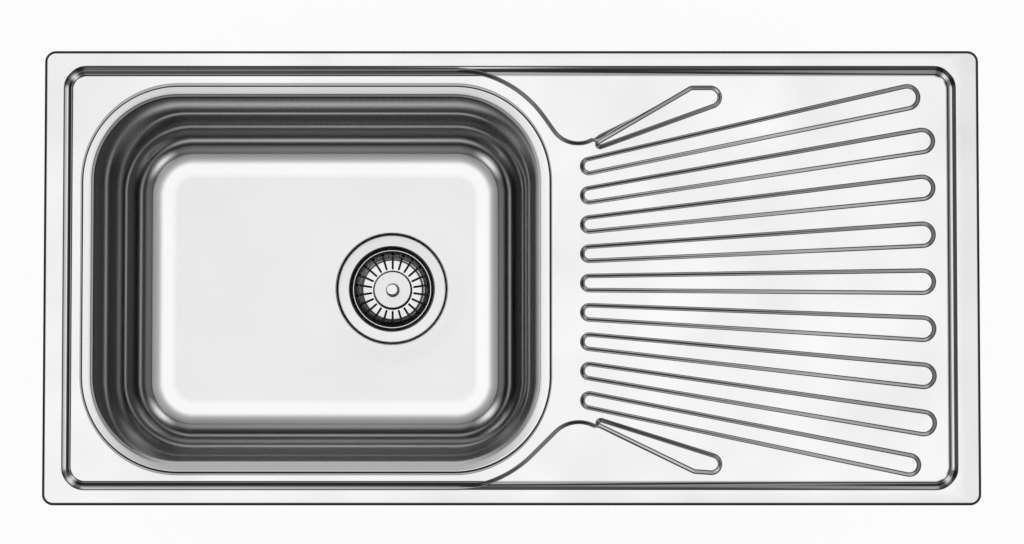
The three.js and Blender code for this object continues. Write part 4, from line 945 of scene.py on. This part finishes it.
def build_strainer():
    thread = THROAT_RADIUS + CUP_WALL
    outer = OUTLET_RADIUS + OUTLET_WALL
    rounding_r, rounding_z = THROAT_RADIUS + THROAT_ROUNDING, flange_top - THROAT_ROUNDING
    rounding = arc(rounding_r, rounding_z, THROAT_ROUNDING, math.pi / 2, math.pi, math.pi / 16)
    outside = [
        (OUTLET_RADIUS, outlet_end),
        (outer, outlet_end),
        (outer, cup_underside),
        (thread - CUP_CHAMFER, cup_underside),
        (thread, cup_underside + CUP_CHAMFER),
        (thread, flange_underside),
        (FLANGE_RADIUS - FLANGE_CHAMFER, flange_underside),
        (FLANGE_RADIUS, flange_underside + FLANGE_CHAMFER),
        (FLANGE_RADIUS - FLANGE_TAPER, flange_top),
    ]
    inside = [
        (THROAT_RADIUS, seat_top),
        (SEAT_RADIUS, seat_top),
        (SEAT_RADIUS, cup_floor_top + FLOOR_CHAMFER),
        (SEAT_RADIUS - FLOOR_CHAMFER, cup_floor_top),
        (OUTLET_RADIUS, cup_floor_top),
    ]
    cup = turned("strainer_cup", soften(outside + rounding + inside, 0.5), 132)
    radius, angle, z = from_drain(cup)
    # painted shade inside the cup's throat, and on the flange
    throat = ramp(radius, *THROAT_FADE, 1, 0) * (z > outlet_end + 0.5)
    flange = FLANGE_SHADE * (FLANGE_EVEN + (1 - FLANGE_EVEN) * np.sin(angle))
    flange = flange * (z > flange_underside + 0.2)
    shade(cup, np.maximum(CUP_SHADE * throat, flange))
    hub = [(STEM_BORE, crossbar_bottom), (CROSSBAR_HUB, crossbar_bottom)]
    hub += [(CROSSBAR_HUB, crossbar_top), (STEM_BORE, crossbar_top)]
    crossbar = turned("crossbar_hub", soften(hub, 0.4), 48)
    near, far = CROSSBAR_HUB - CROSSBAR_OVERLAP, OUTLET_RADIUS + OUTLET_WALL / 2
    low, high = drain[1] - CROSSBAR_WIDTH / 2, drain[1] + CROSSBAR_WIDTH / 2
    arms = []
    for start, end in ((-far, -near), (near, far)):
        left, right = drain[0] + start, drain[0] + end
        arms.append([(left, low), (right, low), (right, high), (left, high)])
    bars = prisms("crossbar_arms", arms, crossbar_bottom + ARM_LOWER, crossbar_top - ARM_LOWER)
    return cup, crossbar, bars


def build_basket():
    t = BASKET_SHEET

    def bend(radius):
        middle_r, middle_z = BASKET_WALL - BASKET_BEND, basket_floor - t + BASKET_BEND
        return arc(middle_r, middle_z, radius, -math.pi / 2, 0, math.pi / 20)

    rim_top = basket_rim_underside + BASKET_RIM_HEIGHT
    profile = [
        (STEM_BORE, plateau_top - t),
        (PLATEAU_RADIUS - t, plateau_top - t),
        (PLATEAU_RADIUS + PLATEAU_BEND - t, basket_floor - t),
        *bend(BASKET_BEND),
        (BASKET_WALL, basket_rim_underside),
        (BASKET_RIM, basket_rim_underside),
        (BASKET_RIM, rim_top),
        (BASKET_RIM - RIM_BRIGHT, rim_top),
        (BASKET_RIM - RIM_BRIGHT - 0.3, rim_top),
        (BASKET_WALL - t, rim_top),
        *reversed(bend(BASKET_BEND - t)),
        (BASKET_WALL - BASKET_BEND - 0.3, basket_floor),
        (PLATEAU_RADIUS + PLATEAU_BEND + 0.9, basket_floor),
        (PLATEAU_RADIUS + PLATEAU_BEND, basket_floor),
        (PLATEAU_RADIUS, plateau_top),
        (PLATEAU_RADIUS - 0.9, plateau_top),
        (STEM_BORE, plateau_top),
    ]
    basket = turned("strainer_basket", soften(profile, 0.5), 132)
    slots = []
    r = SLOT_WIDTH / 2
    for i in range(SLOT_COUNT):
        angle = -math.pi / 2 + 2 * math.pi * i / SLOT_COUNT
        ends = []
        for radius in (SLOT_INNER + r, SLOT_OUTER - r):
            x, y = drain[0] + radius * math.cos(angle), drain[1] + radius * math.sin(angle)
            ends.append((x, y, r))
        slots.append(hull_points(ends, 0, math.radians(30)))
    carve(basket, prisms("slots", slots, basket_floor - SLOT_BELOW, basket_floor + SLOT_ABOVE))
    basket.data.shade_smooth()
    basket.data.set_sharp_from_angle(angle=math.radians(40))
    radius, angle, z = from_drain(basket)
    frontwards = -np.sin(angle)
    on_floor = z > basket_floor - t / 2
    bend_shade = np.clip((radius - BRIGHT_RADIUS) / BEND_SHADE_FADE, 0, 1) * (BEND_SHADE_LEVEL + BEND_SHADE_TURN * frontwards)
    step = np.abs(radius - PLATEAU_RADIUS - PLATEAU_BEND / 2) < PLATEAU_BEND
    # painted shade: in the rim's groove, on its outer face, on the floor's bend, on the plateau and on
    # the plateau's step
    shades = [
        (radius > BASKET_WALL - t - 0.2) * (radius < BASKET_RIM - RIM_BRIGHT - 0.1),
        radius > BASKET_RIM - 0.05,
        bend_shade * (radius < BASKET_WALL - t) * on_floor,
        PLATEAU_SHADE * (radius < PLATEAU_RADIUS),
        PLATEAU_STEP_SHADE * step * on_floor * np.clip(0.1 + frontwards, 0, 1),
    ]
    shade(basket, CUP_SHADE * np.max(shades, axis=0))
    return basket


def build_knob():
    bottom = plateau_top + KNOB_GAP
    side = [(KNOB_RADIUS + out, bottom + up * KNOB_HEIGHT) for out, up in KNOB_SIDE]
    profile = [(0, bottom), *side, (0, bottom + KNOB_HEIGHT)]
    return turned("strainer_knob", soften(profile, 0.6), 64, 60)


# ---- materials

GRAIN_LOW, GRAIN_HIGH = 0.3, 0.7  # the noise's usual range
# how metallic the steel stays where its satin value is full, under the painted reflection streaks; the
# unpolished underside is half satin
SATIN_AND_STREAK_METALLIC = 0.1
BLACK = (0.004, 0.004, 0.004, 1)
BRUSH_DEPTH, BRUSH_STRENGTH = 0.00002, 0.04
# how fine the brushing is along x, y and z
LENGTHWISE, UPRIGHT, EVEN = (30, 2600, 2600), (700, 700, 90), (900, 900, 900)


def feed(tree, socket, value):
    """Links another node's output to a socket, or sets the socket to a plain value."""
    if isinstance(value, bpy.types.NodeSocket):
        tree.links.new(value, socket)
    else:
        socket.default_value = value


def add(tree, kind, output, inputs, **settings):
    """Adds a node with these settings and inputs, and returns one of its outputs."""
    node = tree.nodes.new("ShaderNode" + kind)
    for name, value in settings.items():
        setattr(node, name, value)
    for name, value in inputs.items():
        feed(tree, node.inputs[name], value)
    return node.outputs[output]


def calculate(tree, operation, *values):
    return add(tree, "Math", 0, dict(enumerate(values)), operation=operation)


def mix(tree, share, first, second):
    """The colour between the first and the second."""
    inputs = {"Factor": share, "A": first, "B": second}
    return add(tree, "Mix", "Result", inputs, data_type="RGBA")


def finish_surface(tree, output, share, first, second):
    """Ends a node tree in the first shader, and by this share in the second."""
    surface = add(tree, "MixShader", "Shader", {"Fac": share, 1: first, 2: second})
    feed(tree, tree.nodes[output].inputs["Surface"], surface)


def mesh_value(tree, name):
    return add(tree, "Attribute", "Fac", {}, attribute_name=name)


def noise(tree, scale, stretch=(1, 1, 1), detail=4.0):
    """Noise in the object's own coordinates, in metres."""
    place = add(tree, "TexCoord", "Object", {})
    place = add(tree, "Mapping", "Vector", {"Vector": place, "Scale": stretch})
    return add(tree, "TexNoise", "Fac", {"Vector": place, "Scale": scale, "Detail": detail})


def spread(tree, value, low, high):
    """Maps the noise's usual range to the range low to high."""
    usual = {"From Min": GRAIN_LOW, "From Max": GRAIN_HIGH}
    return add(tree, "MapRange", "Result", {"Value": value, "To Min": low, "To Max": high, **usual})


def roughen(tree, shader, height, strength, distance):
    inputs = {"Height": height, "Strength": strength, "Distance": distance}
    feed(tree, shader.inputs["Normal"], add(tree, "Bump", "Normal", inputs))


def new_material(name):
    material = bpy.data.materials.new(name)
    material.use_nodes = True
    return material, material.node_tree, material.node_tree.nodes["Principled BSDF"]


def metal(name, color, roughness, brush, variation=0.03, has_satin_and_painted_reflection=False):
    """Brushed steel, darkened by the mesh's shade value, mostly painted shade, and less metallic by its
    satin value, which the painted reflection streaks and the unpolished underside carry.
    """
    material, tree, shader = new_material(name)
    shader.inputs["Metallic"].default_value = 1
    if has_satin_and_painted_reflection:
        inputs = {"Value": mesh_value(tree, "satin_and_painted_reflection"), "To Min": 1, "To Max": SATIN_AND_STREAK_METALLIC}
        feed(tree, shader.inputs["Metallic"], add(tree, "MapRange", "Result", inputs))
    fine = noise(tree, 1.0, brush)
    wide = noise(tree, 9.0, detail=2.0)
    feed(tree, shader.inputs["Roughness"], spread(tree, fine, *roughness))
    dark = [c * (1 - variation) for c in color]
    steel = mix(tree, spread(tree, wide, 0, 1), (*dark, 1), (*color, 1))
    feed(tree, shader.inputs["Base Color"], mix(tree, mesh_value(tree, "shade"), steel, BLACK))
    roughen(tree, shader, fine, BRUSH_STRENGTH, BRUSH_DEPTH)
    return material


# matte materials: rubber, foam, plastic, fibre and the sound pad
def matte_or_painted_shade(name, dark, light, roughness, grain, bump, distance=0.0003):
    material, tree, shader = new_material(name)
    shader.inputs["Roughness"].default_value = roughness
    fine = noise(tree, grain)
    color = mix(tree, spread(tree, fine, 0, 1), (*dark, 1), (*light, 1))
    feed(tree, shader.inputs["Base Color"], color)
    roughen(tree, shader, fine, bump, distance)
    return material


METALS = {
    "deck_steel": ((0.95, 0.95, 0.95), (0.07, 0.11), LENGTHWISE, 0.11),
    "bowl_steel": ((0.98, 0.98, 0.98), (0.12, 0.18), UPRIGHT, 0.03, True),
    "strainer_steel": ((0.88, 0.885, 0.89), (0.07, 0.12), EVEN),
    "zinc_steel": ((0.62, 0.65, 0.68), (0.28, 0.42), EVEN, 0.12),
}
DULL_STUFFS = {
    "black_rubber": ((0.012, 0.012, 0.013), (0.03, 0.03, 0.032), 0.55, 900, 0.2),
    "seal_foam": ((0.03, 0.031, 0.034), (0.09, 0.092, 0.097), 0.95, 1600, 0.8),
    "white_plastic": ((0.80, 0.80, 0.77), (0.86, 0.86, 0.84), 0.42, 500, 0.1),
    "fibre": ((0.42, 0.30, 0.16), (0.62, 0.49, 0.32), 0.85, 1200, 0.5),
    "sound_pad": ((0.08, 0.083, 0.09), (0.16, 0.165, 0.175), 0.95, 700, 0.9, 0.0008),
}
materials = {name: metal(name, *looks) for name, looks in METALS.items()}
materials |= {name: matte_or_painted_shade(name, *looks) for name, looks in DULL_STUFFS.items()}
slot_of = {row["node"]: row["material_slot"] for row in frame["record"]["subparts"]}

for name, node in frame["nodes"].items():
    node.data.materials.clear()
    node.data.materials.append(materials[slot_of[name]])

# ---- pieces

dress(build_deck(), "deck_steel", "root", "drainer_deck")
dress(build_bowl(), "bowl_steel", "root", "bowl")
strainer_cup, crossbar_hub, crossbar_arms = build_strainer()
dress(strainer_cup, "strainer_steel", "root", "strainer_body")
dress(crossbar_hub, "strainer_steel", "root")
dress(crossbar_arms, "strainer_steel", "root")
dress(build_basket(), "strainer_steel", "basket", "basket_cup")
dress(build_knob(), "strainer_steel", "basket", "basket_knob")

# ---- stage, light and camera

IMAGE_WIDTH = 1024
SENSOR = 36.0
CAMERA_PLACE = Vector((0.0004, -0.202, 3.35))
CAMERA_AIM = Vector((0.0004, -0.0255, 0.006))
CAMERA_SHIFT = 0.03  # upwards, as a share of the image's width
METRES_PER_PIXEL = 0.0010034  # at the deck
FLOOR_SIZE, FLOOR_GAP = 8000.0, 1.0
FLOOR_COLOR, FLOOR_ROUGHNESS = (0.8, 0.8, 0.8, 1), 0.9
FLOOR_GLOW = 0.92  # how much of the floor is plain white to the camera and to mirroring metal
WHITE = (1, 1, 1, 1)
# brightness of the studio that metal mirrors, by angle from straight up, in degrees: towards the
# sink's ends, towards its front and back, and across its corners, which are lit down to the horizon
STUDIO_TOP = ((0, 1), (9, 1), (13, 0.9), (17, 0.1), (36, 0.05))
STUDIO_ENDS = (*STUDIO_TOP, (42, 0.5), (48, 1), (56, 1), (62, 0.4), (67, 0.05))
STUDIO_SIDES = (*STUDIO_TOP, (42, 0.3), (48, 0.65), (56, 0.6), (62, 0.25), (67, 0.05))
STUDIO_CORNERS = (*STUDIO_TOP, (42, 0.5), (48, 0.9), (60, 0.7), (90, 0.7))


def build_floor():
    half = FLOOR_SIZE / 2
    z = cad_bounds[0][2] / MM - FLOOR_GAP
    corners_xy = [(-half, -half), (half, -half), (half, half), (-half, half)]
    floor = make_mesh("studio_floor", [(x, y, z) for x, y in corners_xy], [(0, 1, 2, 3)])
    material, tree, shader = new_material("studio_floor")
    shader.inputs["Base Color"].default_value = FLOOR_COLOR
    shader.inputs["Roughness"].default_value = FLOOR_ROUGHNESS
    path = tree.nodes.new("ShaderNodeLightPath")
    seen = calculate(tree, "MAXIMUM", path.outputs["Is Camera Ray"], path.outputs["Is Glossy Ray"])
    glow = add(tree, "Emission", "Emission", {"Color": WHITE})
    share = calculate(tree, "MULTIPLY", seen, FLOOR_GLOW)
    finish_surface(tree, "Material Output", share, shader.outputs["BSDF"], glow)
    floor.data.materials.append(material)


def studio_ramp(tree, angle, levels):
    """The studio's brightness by angle from straight up, where 1 is the horizon."""
    node = tree.nodes.new("ShaderNodeValToRGB")
    stops = node.color_ramp.elements
    while len(stops) > 1:
        stops.remove(stops[-1])
    for degrees, level in levels:
        stop = stops[0] if degrees == 0 else stops.new(degrees / 90)
        stop.position = degrees / 90
        stop.color = (level, level, level, 1)
    feed(tree, node.inputs["Fac"], angle)
    return node.outputs["Color"]


def build_world():
    world = bpy.data.worlds.new("studio")
    bpy.context.scene.world = world
    world.use_nodes = True
    tree = world.node_tree
    plain = tree.nodes["Background"]
    plain.inputs["Color"].default_value = WHITE
    plain.inputs["Strength"].default_value = 1.0
    direction = add(tree, "TexCoord", "Generated", {})
    split = tree.nodes.new("ShaderNodeSeparateXYZ")
    feed(tree, split.inputs[0], direction)
    angle = calculate(tree, "MULTIPLY", calculate(tree, "ARCCOSINE", split.outputs["Z"]), 2 / math.pi)
    right, back = (calculate(tree, "POWER", split.outputs[axis], 2.0) for axis in "XY")
    level = calculate(tree, "ADD", right, back)
    endwards, sidewards = (calculate(tree, "DIVIDE", part, level) for part in (right, back))
    both = calculate(tree, "MULTIPLY", calculate(tree, "MULTIPLY", endwards, sidewards), 4.0)
    sides, ends, across = (
        studio_ramp(tree, angle, levels) for levels in (STUDIO_SIDES, STUDIO_ENDS, STUDIO_CORNERS)
    )
    light = mix(tree, endwards, sides, ends)
    light = mix(tree, calculate(tree, "POWER", both, 2.0), light, across)
    mirrored = add(tree, "Background", "Background", {"Color": light})
    path = tree.nodes.new("ShaderNodeLightPath")
    share = path.outputs["Is Glossy Ray"]
    finish_surface(tree, "World Output", share, plain.outputs["Background"], mirrored)


def build_camera():
    data = bpy.data.cameras.new("camera")
    data.sensor_width = SENSOR
    distance = (CAMERA_AIM - CAMERA_PLACE).length
    data.lens = SENSOR * distance / (IMAGE_WIDTH * METRES_PER_PIXEL)
    data.shift_y = CAMERA_SHIFT
    camera = bpy.data.objects.new("camera", data)
    camera.location = CAMERA_PLACE
    camera.rotation_euler = (CAMERA_AIM - CAMERA_PLACE).to_track_quat("-Z", "Y").to_euler()
    bpy.context.scene.collection.objects.link(camera)
    bpy.context.scene.camera = camera


build_floor()
build_world()
build_camera()
bpy.context.scene.view_settings.view_transform = "Standard"
